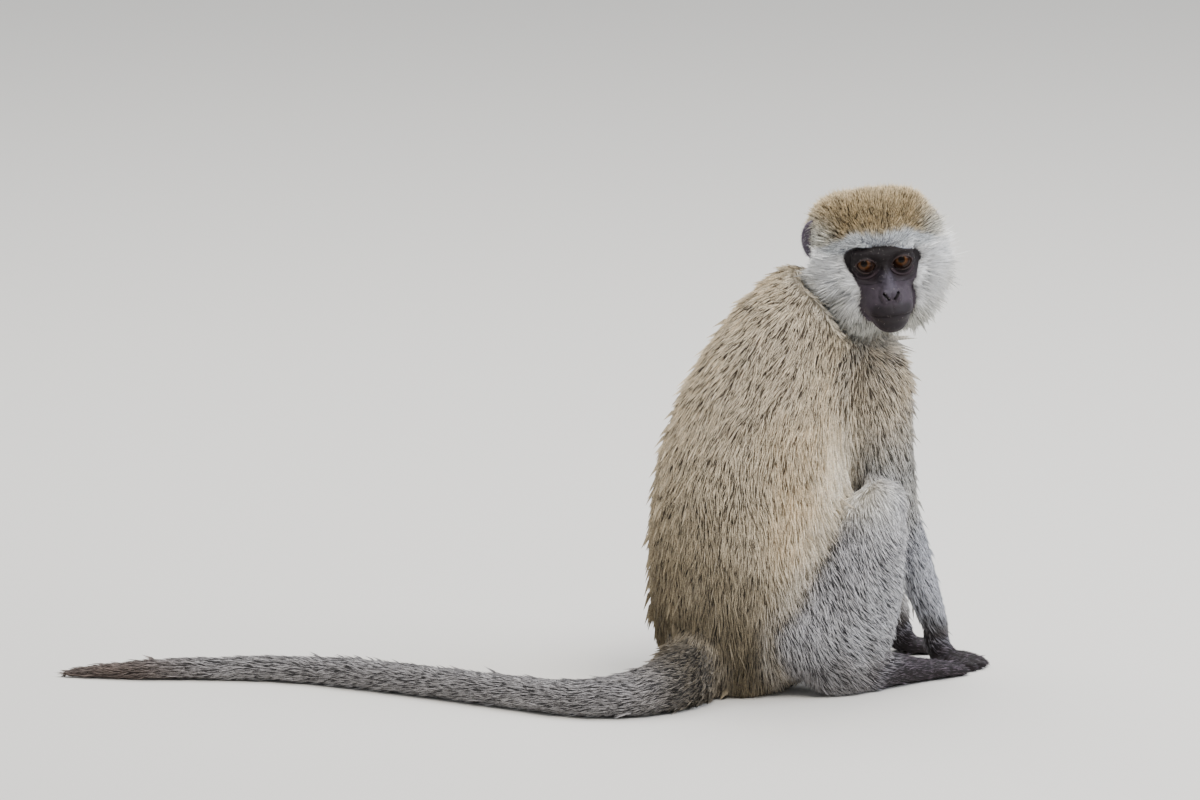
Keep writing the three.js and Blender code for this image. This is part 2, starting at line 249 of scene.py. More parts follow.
def mesh_from(name: str, points: Array, faces: Array, smooth: bool = True) -> Mesh:
    """A mesh of triangles from arrays.

    Args:
        name: The mesh's name.
        points: Its vertices, (n, 3).
        faces: Vertex numbers, (m, 3).
        smooth: Whether its faces are shaded smooth.

    Returns:
        The new mesh.
    """
    mesh = bpy.data.meshes.new(name)
    mesh.vertices.add(len(points))
    mesh.vertices.foreach_set("co", np.ascontiguousarray(points, np.float32).ravel())
    mesh.loops.add(faces.size)
    mesh.loops.foreach_set("vertex_index", np.ascontiguousarray(faces, np.int32).ravel())
    mesh.polygons.add(len(faces))
    mesh.polygons.foreach_set("loop_start", np.arange(0, faces.size, 3, dtype=np.int32))
    mesh.polygons.foreach_set("use_smooth", np.full(len(faces), smooth))
    mesh.update(calc_edges=True)
    return mesh


def paint(mesh: Mesh, name: str, colours: Array) -> None:
    """Stores a linear colour for each vertex, with or without alpha, as a colour attribute."""
    rgba = np.ones((len(colours), 4), np.float32)
    rgba[:, : colours.shape[1]] = colours
    mesh.color_attributes.new(name, "FLOAT_COLOR", "POINT").data.foreach_set("color", rgba.ravel())


# ---- Finishes ----


class Shading:
    """A new material with its nodes, and short ways to add the patterns that the finishes share."""

    def __init__(self, name: str, inputs: dict[str, object]) -> None:
        """Starts the material and sets its shader's inputs by name."""
        self.material = bpy.data.materials.new(name)
        self.material.use_nodes = True
        self.tree = self.material.node_tree
        self.shader = self.tree.nodes["Principled BSDF"]
        for key, value in inputs.items():
            self.shader.inputs[key].default_value = value

    def add(
        self, kind: str, settings: dict[str | int, object], links: dict[str | int, Socket]
    ) -> bpy.types.Node:
        """Adds a shader node.

        Args:
            kind: The node's type after "ShaderNode", such as "Mix".
            settings: Properties by name, and input values by socket name or number.
            links: The sockets that feed its inputs, by socket name or number.

        Returns:
            The new node.
        """
        made = self.tree.nodes.new("ShaderNode" + kind)
        for name, value in settings.items():
            if isinstance(name, str) and hasattr(made, name):
                setattr(made, name, value)
            else:
                made.inputs[name].default_value = value
        for name, source in links.items():
            self.tree.links.new(source, made.inputs[name])
        return made

    def place(self) -> Socket:
        """The place on the object."""
        return self.add("TexCoord", {}, {}).outputs["Object"]

    def attribute(self, name: str) -> bpy.types.Node:
        """The mesh's own colours of that name."""
        return self.add("Attribute", {"attribute_name": name}, {})

    def noise(self, where: Socket, scale: float, **more: float) -> Socket:
        """A noise pattern's value."""
        return self.add("TexNoise", {"Scale": scale, **more}, {"Vector": where}).outputs["Fac"]

    def reckon(self, operation: str, slot: int, number: float, links: dict[int, Socket]) -> Socket:
        """The result of a sum on sockets and one number."""
        return self.add("Math", {"operation": operation, slot: number}, links).outputs["Value"]

    def remap(self, source: Socket, given: tuple[float, float], wanted: tuple[float, float]) -> Socket:
        """A value brought from one span to another."""
        limits = dict(zip(("From Min", "From Max", "To Min", "To Max"), (*given, *wanted)))
        return self.add("MapRange", limits, {"Value": source}).outputs["Result"]

    def ramp(self, value: Socket, stops: Sequence[tuple[float, str]]) -> Socket:
        """A colour that runs through stops of place and hex code."""
        made = self.add("ValToRGB", {}, {"Fac": value})
        elements = made.color_ramp.elements
        for element, (at, code) in zip(elements, (stops[0], stops[-1])):
            element.position, element.color = at, (*linear(code), 1)
        for at, code in stops[1:-1]:
            elements.new(at).color = (*linear(code), 1)
        return made.outputs["Color"]

    def feed(self, name: str, source: Socket) -> None:
        """Links a socket to one of the shader's inputs."""
        self.tree.links.new(source, self.shader.inputs[name])

    def feed_base(self, colour: Socket, tone: Socket) -> None:
        """Makes a colour times a tone the shader's base colour."""
        mixed = self.add("VectorMath", {"operation": "SCALE"}, {0: colour, "Scale": tone})
        self.feed("Base Color", mixed.outputs["Vector"])

    def feed_bump(self, height: Socket, strength: float, depth: float) -> None:
        """Gives the shader a bump that follows a height."""
        bump = self.add("Bump", {"Strength": strength, "Distance": depth}, {"Height": height})
        self.feed("Normal", bump.outputs["Normal"])


@dataclass(frozen=True)
class FurFinish:
    """Guard hair of a vervet: keratin, banded light and dark, dull with a faint silky edge.

    The bands are in the strands' own colours; a fine fleck of 1.2 mm breaks them up as grizzled hair does,
    as strongly as the colours' alpha says.
    """

    name: str = "guard_hair"
    fleck: float = 1.2 * MM
    contrast: float = 2.6
    roughness: float = 0.62
    specular: float = 0.28
    sheen: float = 0.18
    sheen_roughness: float = 0.45

    def make(self) -> Material:
        """Builds the material."""
        sheen = {"Sheen Weight": self.sheen, "Sheen Roughness": self.sheen_roughness}
        made = Shading(self.name, {"Roughness": self.roughness, "Specular IOR Level": self.specular, **sheen})
        place, colour = made.place(), made.attribute("Hair")
        fleck = made.noise(place, 1 / self.fleck, Detail=2.0)
        apart = made.reckon("SUBTRACT", 1, 0.5, {0: fleck})
        strength = made.reckon("MULTIPLY", 1, self.contrast, {0: colour.outputs["Alpha"]})
        made.feed_base(colour.outputs["Color"], made.reckon("MULTIPLY_ADD", 2, 1.0, {0: apart, 1: strength}))
        return made.material


@dataclass(frozen=True)
class HideFinish:
    """Living skin: dark, slightly greasy on the face, with fine creases; dull under the fur.

    The creases are about 0.9 mm apart and the pores 0.5 mm, a little coarser than real so that they show.
    """

    name: str = "bare_hide"
    mottles: float = 260.0
    crease: float = 0.9 * MM
    pores: float = 2000.0
    pore_share: float = 0.6
    roughness: float = 0.58
    specular: float = 0.25
    bump: tuple[float, float] = (0.35, 0.0006)

    def make(self) -> Material:
        """Builds the material."""
        made = Shading(self.name, {"Specular IOR Level": self.specular})
        place, colour = made.place(), made.attribute("Hide")
        mottle = made.noise(place, self.mottles, Detail=5.0, Roughness=0.65)
        made.feed_base(colour.outputs["Color"], made.remap(mottle, (0.25, 0.75), (0.6, 1.45)))
        made.feed("Roughness", made.remap(mottle, (0.3, 0.7), (self.roughness - 0.1, self.roughness + 0.2)))
        cells = {"feature": "DISTANCE_TO_EDGE", "Scale": 1 / self.crease}
        crease = made.add("TexVoronoi", cells, {"Vector": place}).outputs["Distance"]
        pores = made.noise(place, self.pores, Detail=2.0)
        height = made.reckon("MULTIPLY_ADD", 1, self.pore_share, {0: crease, 2: pores})
        made.feed_bump(height, *self.bump)
        return made.material


@dataclass(frozen=True)
class EyeFinish:
    """A wet eye: cornea over an amber iris with fine radial fibres and a dark rim, and a brown-stained white.

    The eye's own "Iris" colours hold the distance from the middle of the pupil, in centimetres, and the way
    round it. pupil and iris are their radii in millimetres.
    """

    name: str = "wet_eye"
    pupil: float = 2.1
    iris: float = 5.8
    fibres: float = 14.0
    roughness: float = 0.03
    cornea_ior: float = 1.376
    specular: float = 0.2

    def make(self) -> Material:
        """Builds the material."""
        inputs = {"Roughness": self.roughness, "IOR": self.cornea_ior, "Specular IOR Level": self.specular}
        made = Shading(self.name, inputs)
        where = made.attribute("Iris").outputs["Color"]
        apart = made.add("SeparateColor", {}, {"Color": where}).outputs["Red"]
        pupil, iris = self.pupil / 10, self.iris / 10
        stops = (
            (0.0, "070403"),
            (pupil, "0b0604"),
            (pupil + 0.025, "24160a"),
            (pupil + 0.12, "4c3018"),
            (iris - 0.12, "3a2111"),
            (iris - 0.03, "1f1109"),
            (iris + 0.02, "1c1210"),
            (0.8, "35261f"),
        )
        colour = made.ramp(apart, stops)
        fibres = made.noise(where, self.fibres, Detail=3.0)
        made.feed_base(colour, made.remap(fibres, (0.3, 0.7), (0.7, 1.35)))
        return made.material


@dataclass(frozen=True)
class NailFinish:
    """Horn: near-black keratin nail, smooth along its length with a soft gloss."""

    name: str = "black_horn"
    roughness: float = 0.35
    streaks: float = 900.0
    bump: tuple[float, float] = (0.15, 0.0002)

    def make(self) -> Material:
        """Builds the material."""
        made = Shading(self.name, {"Roughness": self.roughness})
        streak = made.noise(made.place(), self.streaks, Detail=3.0)
        made.feed("Base Color", made.ramp(streak, ((0.0, "17110f"), (1.0, "3a302b"))))
        made.feed_bump(streak, *self.bump)
        return made.material


# ---- Coat patterns ----


@dataclass(frozen=True)
class Coat:
    """How the hair is on one part of the body.

    Lengths are in millimetres. lift is the angle between hair and skin, in degrees, and crowding how closely
    the tufts stand beside other parts' ones. dark and light are the two kinds of hair that mix to a grizzled
    coat, share is the part of light ones, and root is the colour below. fleck is how strongly each hair is
    banded, from 0 to 1, and stray the part of the light hairs that stand out.
    """

    depth: float
    length: float
    lift: float
    width: float
    crowding: float
    dark: str
    light: str
    root: str
    share: float = 0.55
    fleck: float = 0.5
    stray: float = 0.06


COATS: dict[str, Coat] = {
    "trunk": Coat(6.0, 14.0, 23, 0.50, 1.0, "4a4034", "f2e2c6", "40372b", 0.45, 0.6, 0.03),
    "neck": Coat(6.0, 13.0, 23, 0.50, 1.0, "4e4438", "eedec4", "40372b", 0.45, 0.6, 0.03),
    "thigh": Coat(5.2, 12.0, 21, 0.48, 1.0, "474547", "dbd9db", "3d3b3d", 0.36, 0.5, 0.03),
    "shin": Coat(3.8, 10.5, 20, 0.46, 1.0, "454447", "dedee1", "3c3b3e", 0.43, 0.5, 0.03),
    "foot": Coat(0.9, 6.0, 17, 0.36, 1.3, "1c161a", "6c606a", "181317", 0.16, 0.3),
    "upper_arm": Coat(4.6, 12.0, 20, 0.48, 1.0, "4a4743", "d8d6d1", "403c38", 0.38, 0.5, 0.03),
    # the forearm's grey hair has a blue cast of painted skylight
    "forearm": Coat(3.0, 9.5, 18, 0.44, 1.0, "46464d", "e0e2ea", "3b3b40", 0.50, 0.45, 0.03),
    "hand": Coat(0.8, 5.0, 16, 0.36, 1.3, "1c161a", "665a64", "181317", 0.14, 0.3),
    "tail": Coat(3.0, 10.0, 16, 0.44, 1.05, "3b3939", "c2bebe", "312f2f", 0.39, 0.5, 0.03),
    "ear": Coat(0.0, 3.0, 30, 0.3, 0.5, "4a4247", "bdb6b0", "3a3338", 0.6, 0.2),
}


class Trait(IntEnum):
    """The columns of the numbers that each point of the skin has for its hair, as in Coat."""

    LENGTH = 0
    LIFT = 1
    WIDTH = 2
    CROWDING = 3
    SHARE = 4
    FLECK = 5
    STRAY = 6


TRAITS = tuple(trait.name.lower() for trait in Trait)


class HeadZone(Enum):
    """The head's coats."""

    CROWN = Coat(0.0, 7.4, 66, 0.34, 3.2, "33260f", "f8e2b8", "271c0b", 0.50, 1.0, 0.1)
    TEMPLE = Coat(0.0, 9.5, 50, 0.36, 2.3, "4a4840", "f0ede2", "3a3830", 0.52, 0.9, 0.1)
    BROW = Coat(0.0, 6.0, 52, 0.30, 3.4, "4c505c", "fafdff", "7b808c", 0.82, 0.3, 0.05)
    CHEEK = Coat(0.0, 12.5, 42, 0.36, 2.5, "c4c5c5", "ffffff", "e4e3e1", 0.91, 0.1, 0.07)
    # the throat's grey is partly its own colour and partly painted shade under the head
    THROAT = Coat(0.0, 14.0, 36, 0.40, 2.0, "6c6b65", "e2e1da", "74726c", 0.60, 0.4, 0.08)
    NAPE = Coat(0.0, 11.0, 34, 0.42, 1.7, "463a25", "ecd7ae", "372e1e", 0.50, 0.8, 0.04)
    FACE = Coat(0.0, 1.8, 25, 0.18, 0.16, "2a2022", "b8b0aa", "2a2022", 0.5, 0.0)


# ---- The head ----


def oval(p: Array, at: Sequence[float], r: Sequence[float], droop: float = 0.0) -> Array:
    """The rough distance to an oval form, negative inside; droop tips its front down, in degrees."""
    q = p - np.array(at)
    if droop:
        q = q @ turned(0, droop, 0)
    near = np.linalg.norm(q / r, axis=1)
    return near * (near - 1) / np.maximum(np.linalg.norm(q / np.square(r), axis=1), 1e-9)


def bar(p: Array, start: Sequence[float], end: Sequence[float], r0: float, r1: float) -> Array:
    """The distance from points to a round bar whose radius runs from r0 to r1."""
    a, line = np.array(start), np.array(end) - np.array(start)
    t = np.clip((p - a) @ line / (line @ line), 0, 1)
    return np.linalg.norm(p - a - t[:, None] * line, axis=1) - (r0 + (r1 - r0) * t)


def join(a: Array, b: Array, blend: float) -> Array:
    """Joins two forms with a rounded seam."""
    h = np.maximum(blend - np.abs(a - b), 0) / blend
    return np.minimum(a, b) - h * h * blend / 4


def carve(a: Array, b: Array, blend: float) -> Array:
    """Takes form b out of form a with a rounded rim."""
    return -join(-a, b, blend)


@dataclass
class Head:
    """The head without its long hair, in its own frame in millimetres: x forward, y left, z up.

    Its place comes from the two eyes in the frame, and its turn from the sizes here. opening is half the
    almond between the lids, lid how far their rims stand off the eyeball, rim how near a point must be to be
    moved onto them, and sink how far the skin drops behind the eyeball's surface. Rays towards the form start
    outside it, at that distance from seen_from, and near it in strides.
    """

    yaw: float = -115.5
    pitch: float = 5.0
    roll: float = 5.0
    settle: tuple[float, float, float] = (-0.8, 0.8, 1.0)
    eye: tuple[float, float, float] = (30.5, 15.2, 10.0)
    eye_radius: float = 9.5
    seen_from: tuple[float, float, float] = (23.0, 0.0, -4.0)
    fineness: float = 1.9
    opening: tuple[float, float] = (7.9, 5.3)
    lid: float = 0.7
    rim: float = 0.55
    sink: float = 2.2
    outside: float = 135.0
    strides: int = 60
    canthal_tilt: float = 10.0
    turn: Array = field(init=False)
    place: Array = field(init=False)

    def __post_init__(self) -> None:
        """Finds where the head is from the boxes of the eyes."""
        self.turn = turned(self.yaw, self.pitch, self.roll)
        middle = np.mean([np.mean(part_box(f"eye_{side}"), axis=0) for side in SIDES], axis=0)
        eyes = np.array([self.eye[0], 0, self.eye[2]])
        self.place = middle + np.array(self.settle) * MM - self.turn @ (eyes * MM)

    def to_world(self, p: Array) -> Array:
        """Points of the head's frame in the model's."""
        return (p * MM) @ self.turn.T + self.place

    def to_local(self, p: Array) -> Array:
        """Points of the model's frame in the head's."""
        return (p - self.place) @ self.turn / MM

    def lid_line(self, q: Array) -> Array:
        """How far points lie outside the almond between the lids, negative in it, with y folded."""
        a = np.radians(self.canthal_tilt)
        y, z = q[:, 1] - self.eye[1] + 0.6, q[:, 2] - self.eye[2] + 0.1
        along, across = y * np.cos(a) + z * np.sin(a), z * np.cos(a) - y * np.sin(a)
        half, tall = self.opening
        bow = np.clip(1 - np.square(along / half), 0, None) ** 0.62
        rim = np.where(across > 0, tall * 0.95, tall) * bow
        outside = np.hypot(np.maximum(np.abs(along) - half, 0), np.maximum(np.abs(across) - rim, 0))
        return np.where(outside > 0, outside, np.abs(across) - rim)

    def face(self, q: Array) -> Array:
        """The bare face, built up of ovals and bars.

        Args:
            q: Points in the head's frame, with y folded to the left.

        Returns:
            The distance of each from the form, negative inside.
        """
        form = oval(q, (23, 0, 0), (16.0, 30, 17.5))
        form = join(form, oval(q, (14, 0, -20), (33, 24, 21.5)), 8)
        # the brow: a low bar over each eye and a dip between them
        form = join(form, oval(q, (31.5, 13, 17.5), (8.0, 12.0, 5.2)), 6)
        form = join(form, oval(q, (32, 0, 15.5), (8.5, 10, 6.5)), 6)
        # cheekbones run from under the eyes to the ears
        form = join(form, oval(q, (27, 19, -3), (11, 10, 6.5)), 6)
        muzzle = oval(q, (40.5, 0, -19), (24.0, 19.8, 17.0), 7)
        muzzle = join(muzzle, oval(q, (52.5, 0, -23), (17.0, 16.6, 9.6), 8), 6)
        muzzle = join(muzzle, oval(q, (48.0, 0, -32), (18.5, 13.8, 10.6), 6), 6)
        form = join(form, muzzle, 8)
        # the nose: a narrow bridge between the eyes that widens to its flat end
        form = join(form, bar(q, (33, 0, 7), (58.0, 0, -9.5), 4.8, 5.4), 5)
        form = join(form, oval(q, (60.2, 4.0, -10.8), (4.6, 4.4, 4.8), 35), 2.5)
        return form

    def coat_base(self, q: Array) -> Array:
        """The felt of underfur that the long hair stands on, over the braincase and the cheeks.

        Args:
            q: Points in the head's frame, with y folded to the left.

        Returns:
            The distance of each from the form, negative inside.
        """
        form = oval(q, (-9, 0, 15), (42, 44, 35.5))
        form = join(form, oval(q, (-9, 0, 25), (35, 37, 27.0)), 8)
        form = join(form, oval(q, (-11, 25.5, 22.5), (31, 22.5, 27.5)), 8)
        form = join(form, oval(q, (-30, 20, 22), (22, 22, 24)), 8)
        form = join(form, oval(q, (0, 27, -4), (25, 24, 24)), 8)
        form = join(form, oval(q, (8, 14, -25), (26, 24, 23)), 8)
        form = join(form, oval(q, (-22, 0, -12), (28, 38, 38)), 10)
        form = join(form, oval(q, (19, 0, 27), (17, 26, 9)), 5)
        return form

    def solid(self, p: Array) -> Array:
        """The whole head: face, folds, lids, nostrils, mouth and coat base.

        Args:
            p: Points in the head's frame.

        Returns:
            The distance of each from the form, negative inside.
        """
        q = folded(p)
        form = join(self.face(q), self.coat_base(q), 3)
        eye = np.array(self.eye)
        ball = np.linalg.norm(q - eye, axis=1)
        # the socket sinks between brow, nose and cheek, and the lids lie on the ball
        form = carve(form, oval(q, eye + (13.0, 0.8, -0.5), (8.2, 11.2, 8.6)), 5)
        form = join(form, ball - self.eye_radius - 1.1, 1.6)
        # the fold of the upper lid, and pouches under the eye, each a low roll with a groove below it
        from_eye = q[:, 1:] - eye[1:]
        for way, drop, height in ((1, 7.4, 0.5), (-1, 8.6, 0.6), (-1, 11.6, 0.9), (-1, 15.4, 0.6)):
            ring = np.abs(np.hypot(from_eye[:, 0] * 0.94, from_eye[:, 1]) - drop)
            beside = smoothstep(0.5, 5.0, way * from_eye[:, 1]) * smoothstep(18, 12, np.abs(from_eye[:, 0]))
            form = form + height * bell(ring, 0.7) * beside * (q[:, 0] > 20)
        # creases that run from beside the nose down to the corner of the mouth, and fine ones over the nose
        crease = bar(q, (46, 11.5, 0), (55, 18.5, -15), 0.1, 0.1)
        form = form + 0.8 * bell(crease, 1.2)
        fine = np.sin(q[:, 2] * 2.1 + 1.1 * np.sin(q[:, 1] * 0.5)) * smoothstep(9, 3, q[:, 1])
        form = form + 0.15 * fine * smoothstep(38, 43, q[:, 0]) * smoothstep(61, 56, q[:, 0])
        # nostrils: two slits that near each other towards the lip, each under a small wing
        front = smoothstep(54, 57, q[:, 0])
        form = form + 1.9 * bell(self.nostril(q), 0.8) * front
        wing = bar(q * (0, 1, 1), (0, 5.0, -6.0), (0, 8.4, -9.5), 0.1, 0.1)
        wing = np.minimum(wing, bar(q * (0, 1, 1), (0, 8.4, -9.5), (0, 5.6, -14.5), 0.1, 0.1))
        form = form - 0.35 * bell(wing, 1.1) * front
        fold = bar(q * (0, 1, 1), (0, 9.4, -8.0), (0, 8.2, -15.0), 0.1, 0.1)
        form = form + 0.22 * bell(fold, 1.3) * smoothstep(50, 54, q[:, 0])
        form = form + 0.25 * bell(bar(q, (64, 0, -16), (70, 0, -22), 0.1, 0.1), 0.9)
        # mouth: one long groove round the front of the muzzle, and a dent below the lower lip
        mouth = np.abs(q[:, 2] - self.lip_line(q))
        form = form + 0.85 * bell(mouth, 0.7) * smoothstep(52, 63, q[:, 0])
        return form + 0.5 * bell(q[:, 2] + 32, 2.2) * smoothstep(56, 62, q[:, 0])

    @staticmethod
    def nostril(q: Array) -> Array:
        """How far points lie beside the slit of a nostril, seen from in front, with y folded to the left."""
        return np.maximum(bar(q * (0, 1, 1), (0, 5.6, -8.2), (0, 2.4, -12.4), 0.4, 0.2), 0)

    @staticmethod
    def lip_line(q: Array) -> Array:
        """The height at which the lips meet: level in front, dropping a little towards the corners."""
        return -24.8 - 0.05 * np.abs(q[:, 1])

    def trace(self, ways: Array) -> Array:
        """Finds the surface along rays from inside the head, coming in from outside it."""
        start = np.array(self.seen_from)
        far = np.full(len(ways), self.outside)
        for _ in range(self.strides):
            far -= self.solid(start + ways * far[:, None]) * 0.8
        return start + ways * far[:, None]

    def sculpt(self) -> Object:
        """Makes the head's mesh: a ball of triangles, finest on the face, laid on the form.

        Returns:
            The head, in the model's frame.
        """
        head = primitive("ico_sphere", "head_sculpt", subdivisions=7, radius=1.0)
        ways = unit(places(head.data))
        # crowd the triangles round +X, evenly in all directions, then tip that way to the eyes
        k, x = self.fineness, ways[:, 0]
        flat = ways[:, 1:] / (1 + x)[:, None].clip(1e-9) / k
        size = np.sum(flat * flat, axis=1)
        ways = np.column_stack([(1 - size) / (1 + size), 2 * flat / (1 + size)[:, None]])
        ways = ways @ turned(0, 4, 0).T
        points = self.trace(ways)
        q = folded(points)
        edge = self.lid_line(q)
        ball = np.array(self.eye)
        ahead = q[:, 0] > ball[0] + 3
        # the lids' rims: points near the almond move onto it, and inside it the skin drops behind the eye
        step = 0.05
        slope = [
            (self.lid_line(q + np.eye(3)[i] * step) - self.lid_line(q - np.eye(3)[i] * step)) / (2 * step)
            for i in (1, 2)
        ]
        near = ahead & (np.abs(edge) < self.rim)
        steep = np.maximum(np.hypot(*slope), 0.3)
        side = np.where(points[:, 1] < 0, -1.0, 1.0)
        points[near, 1] -= (side * slope[0] * edge / steep**2)[near]
        points[near, 2] -= (slope[1] * edge / steep**2)[near]
        lid_ball = self.eye_radius + self.lid
        across, up = points[:, 1] - side * ball[1], points[:, 2] - ball[2]
        flat_part = np.square(across) + np.square(up)
        points[near, 0] = (ball[0] + np.sqrt(np.maximum(lid_ball**2 - flat_part, 1)))[near]
        inside = ahead & (edge < 0) & ~near
        sunk = np.sqrt(np.maximum((self.eye_radius - self.sink) ** 2 - flat_part, 0.5))
        points[inside, 0] = (ball[0] + sunk)[inside]
        set_places(head.data, self.to_world(points))
        return head


@dataclass
class Ear:
    """A rounded ear, cupped outwards with a rolled rim, half sunk in the fur; sizes in millimetres."""

    head: Head
    side: str
    at: tuple[float, float, float] = (-12.5, 44.5, 17.5)
    height: float = 41.0
    width: float = 27.0
    swing: float = -44.0
    lean: float = -8.0

    def sculpt(self) -> Object:
        """Makes the ear from a flattened ball.

        Returns:
            The ear, in the model's frame.
        """
        ear = primitive("uv_sphere", f"ear_sculpt_{self.side}", segments=56, ring_count=32, radius=1.0)
        p = places(ear.data)
        x, y, z = p.T
        out = np.hypot(x, z)
        rim = bell(out - 0.93, 0.09) * (0.35 + 0.65 * smoothstep(0.5, -0.6, x))
        bowl = smoothstep(0.75, 0.1, np.hypot(x * 1.05 - 0.1, z * 0.9 + 0.08))
        thick = np.sign(y) * (0.75 + 0.9 * rim) * np.sqrt(np.maximum(1 - out**8, 0))
        cup = 5.0 * (x * x + 0.4 * z * z - 0.5) - 3.4 * bowl + 1.3 * rim
        notch = 1 - 0.10 * bell(np.arctan2(z, -x) + 0.9, 0.35)
        taper = 1 - 0.16 * smoothstep(0.2, -1.0, z)
        wide, tall = x * self.width / 2 * taper * notch, z * self.height / 2 * notch
        shaped = np.column_stack([wide, thick + cup, tall])
        shaped = shaped @ (turned(0, 0, self.lean) @ turned(self.swing, 0, 0)).T + np.array(self.at)
        if self.side == "right":
            shaped[:, 1] *= -1
            ear.data.flip_normals()
        set_places(ear.data, self.head.to_world(shaped))
        return ear


# ---- The skin ----


@dataclass
class Skin:
    """One skin over the whole body, inside the solids by the depth of the coat.

    grain, the size of its faces, swell and sole are in metres, and the other sizes in millimetres. core is
    the radius of the form that joins neck and head. Points lower than sole keep their height. The faces are
    finer within digit_reach of the clefts between the digits, up to digit_top.
    """

    head: Head
    grain: float = 3.05 * MM
    swell: float = 0.0006
    core: float = 28.0
    cleft: float = 2.5
    cleft_width: float = 1.5
    sole: float = 0.0012
    digit_reach: float = 9.0
    digit_top: float = 20.0
    piece: Object = field(init=False)
    labels: list[str] = field(init=False)
    label: Array = field(init=False)

    def body_nodes(self) -> list[str]:
        """The flesh nodes behind the head."""
        limbs = [f"{limb}_{side}" for limb in FLESH_LIMBS for side in SIDES]
        return ["trunk", "neck", *limbs, *TAIL_NODES]

    def cast(self) -> Object:
        """Joins copies of the body's solids, and a core from the neck into the head, into one even mesh.

        Returns:
            The form, still at the tips of the coat.
        """
        copies = [new_object(f"cast_{name}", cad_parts[name].data.copy()) for name in self.body_nodes()]
        core = primitive("ico_sphere", "core", subdivisions=4, radius=1.0)
        nape = np.mean(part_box("neck"), axis=0)
        along = self.head.place - nape
        ball = places(core.data)
        ball = ball * self.core * MM + np.outer(ball @ unit(along), along) * 0.55
        set_places(core.data, ball + nape * 0.5 + self.head.place * 0.5)
        cast = joined([*copies, core], "vervet_skin")
        cast.data.materials.clear()
        modify(cast, "WELD", merge_threshold=1e-5)
        mesh = cast.data
        # swelled a little, the solids close the thin gaps between them
        set_places(mesh, places(mesh) + normals_of(mesh) * self.swell)
        modify(cast, "REMESH", mode="VOXEL", voxel_size=self.grain * 1.0)
        modify(cast, "TRIANGULATE")
        # finer faces on the fingers and toes
        points = places(cast.data) / MM
        chosen = (self.beside_digits(points) < self.digit_reach) & (points[:, 2] < self.digit_top)
        edit_vertices(cast, chosen, lambda: bpy.ops.mesh.subdivide(number_cuts=1))
        modify(cast, "TRIANGULATE")
        return cast

    def clefts(self) -> list[tuple[Array, Array]]:
        """The lines between neighbouring digits on the floor plan, from the knuckles to past the tips."""
        lines = []
        for paw, side in all_paws():
            digits = paw.digits_on(side)[:-1]
            for (base, turn, length), (next_base, next_turn, next_length) in zip(digits, digits[1:]):
                middle = (turn + next_turn) / 2
                ahead = np.array([math.cos(middle), math.sin(middle)])
                start = (base + next_base) / 2 + ahead * 3
                lines.append((start, start + ahead * (max(length, next_length) + 3)))
        return lines

    def beside_digits(self, points: Array) -> Array:
        """How far points lie from the nearest line between two digits, on the floor plan, in millimetres."""
        flat = points[:, :2]
        return np.min([bar(flat, start, end, 0.0, 0.0) for start, end in self.clefts()], axis=0)

    def name_parts(self, points: Array) -> None:
        """Notes for each point which solid it belongs to.

        Args:
            points: The skin's vertices.
        """
        names = [*self.body_nodes(), *HEAD_NODES]
        corners, faces, owner, count = [], [], [], 0
        for k, name in enumerate(names):
            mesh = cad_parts[name].data
            corners.append(places(mesh))
            faces.append(faces_of(mesh) + count)
            owner += [k] * len(faces[-1])
            count += len(corners[-1])
        tree = BVHTree.FromPolygons(
            [tuple(v) for v in np.concatenate(corners)], [tuple(f) for f in np.concatenate(faces).tolist()]
        )
        self.labels = names
        self.label = np.array([owner[tree.find_nearest(Vector(p))[2]] for p in points])

    def is_part(self, *starts: str) -> Array:
        """Which points belong to solids whose names start so."""
        chosen = [k for k, name in enumerate(self.labels) if name.startswith(starts)]
        return np.isin(self.label, chosen)

    def near_part(self, *starts: str, rounds: int) -> Array:
        """How much each point belongs to such solids, averaged over its neighbours, (n, 1)."""
        return spread(self.is_part(*starts).astype(float)[:, None], edges_of(self.piece.data), rounds)

    def per_part(self, choose: Callable[[Coat], float]) -> Array:
        """A number of each point's coat."""
        table = [choose(COATS[coat_name(name)]) for name in self.labels]
        return np.array(table)[self.label]

    def make(self) -> None:
        """Makes the skin: the cast body, drawn in by the coat's depth and joined to the head and ears."""
        self.piece = cast = self.cast()
        self.name_parts(places(cast.data))
        self.fill_folds(self.draw_in())
        head = self.head.sculpt()
        for ear in (Ear(self.head, side).sculpt() for side in SIDES):
            modify(head, "BOOLEAN", operation="UNION", solver="EXACT", object=ear)
            bpy.data.objects.remove(ear)
        modify(cast, "BOOLEAN", operation="UNION", solver="EXACT", object=head)
        bpy.data.objects.remove(head)
        modify(cast, "TRIANGULATE")
        self.mend()
        self.name_parts(places(cast.data))
        log.info("skin: %d vertices, %d faces", len(cast.data.vertices), len(cast.data.polygons))

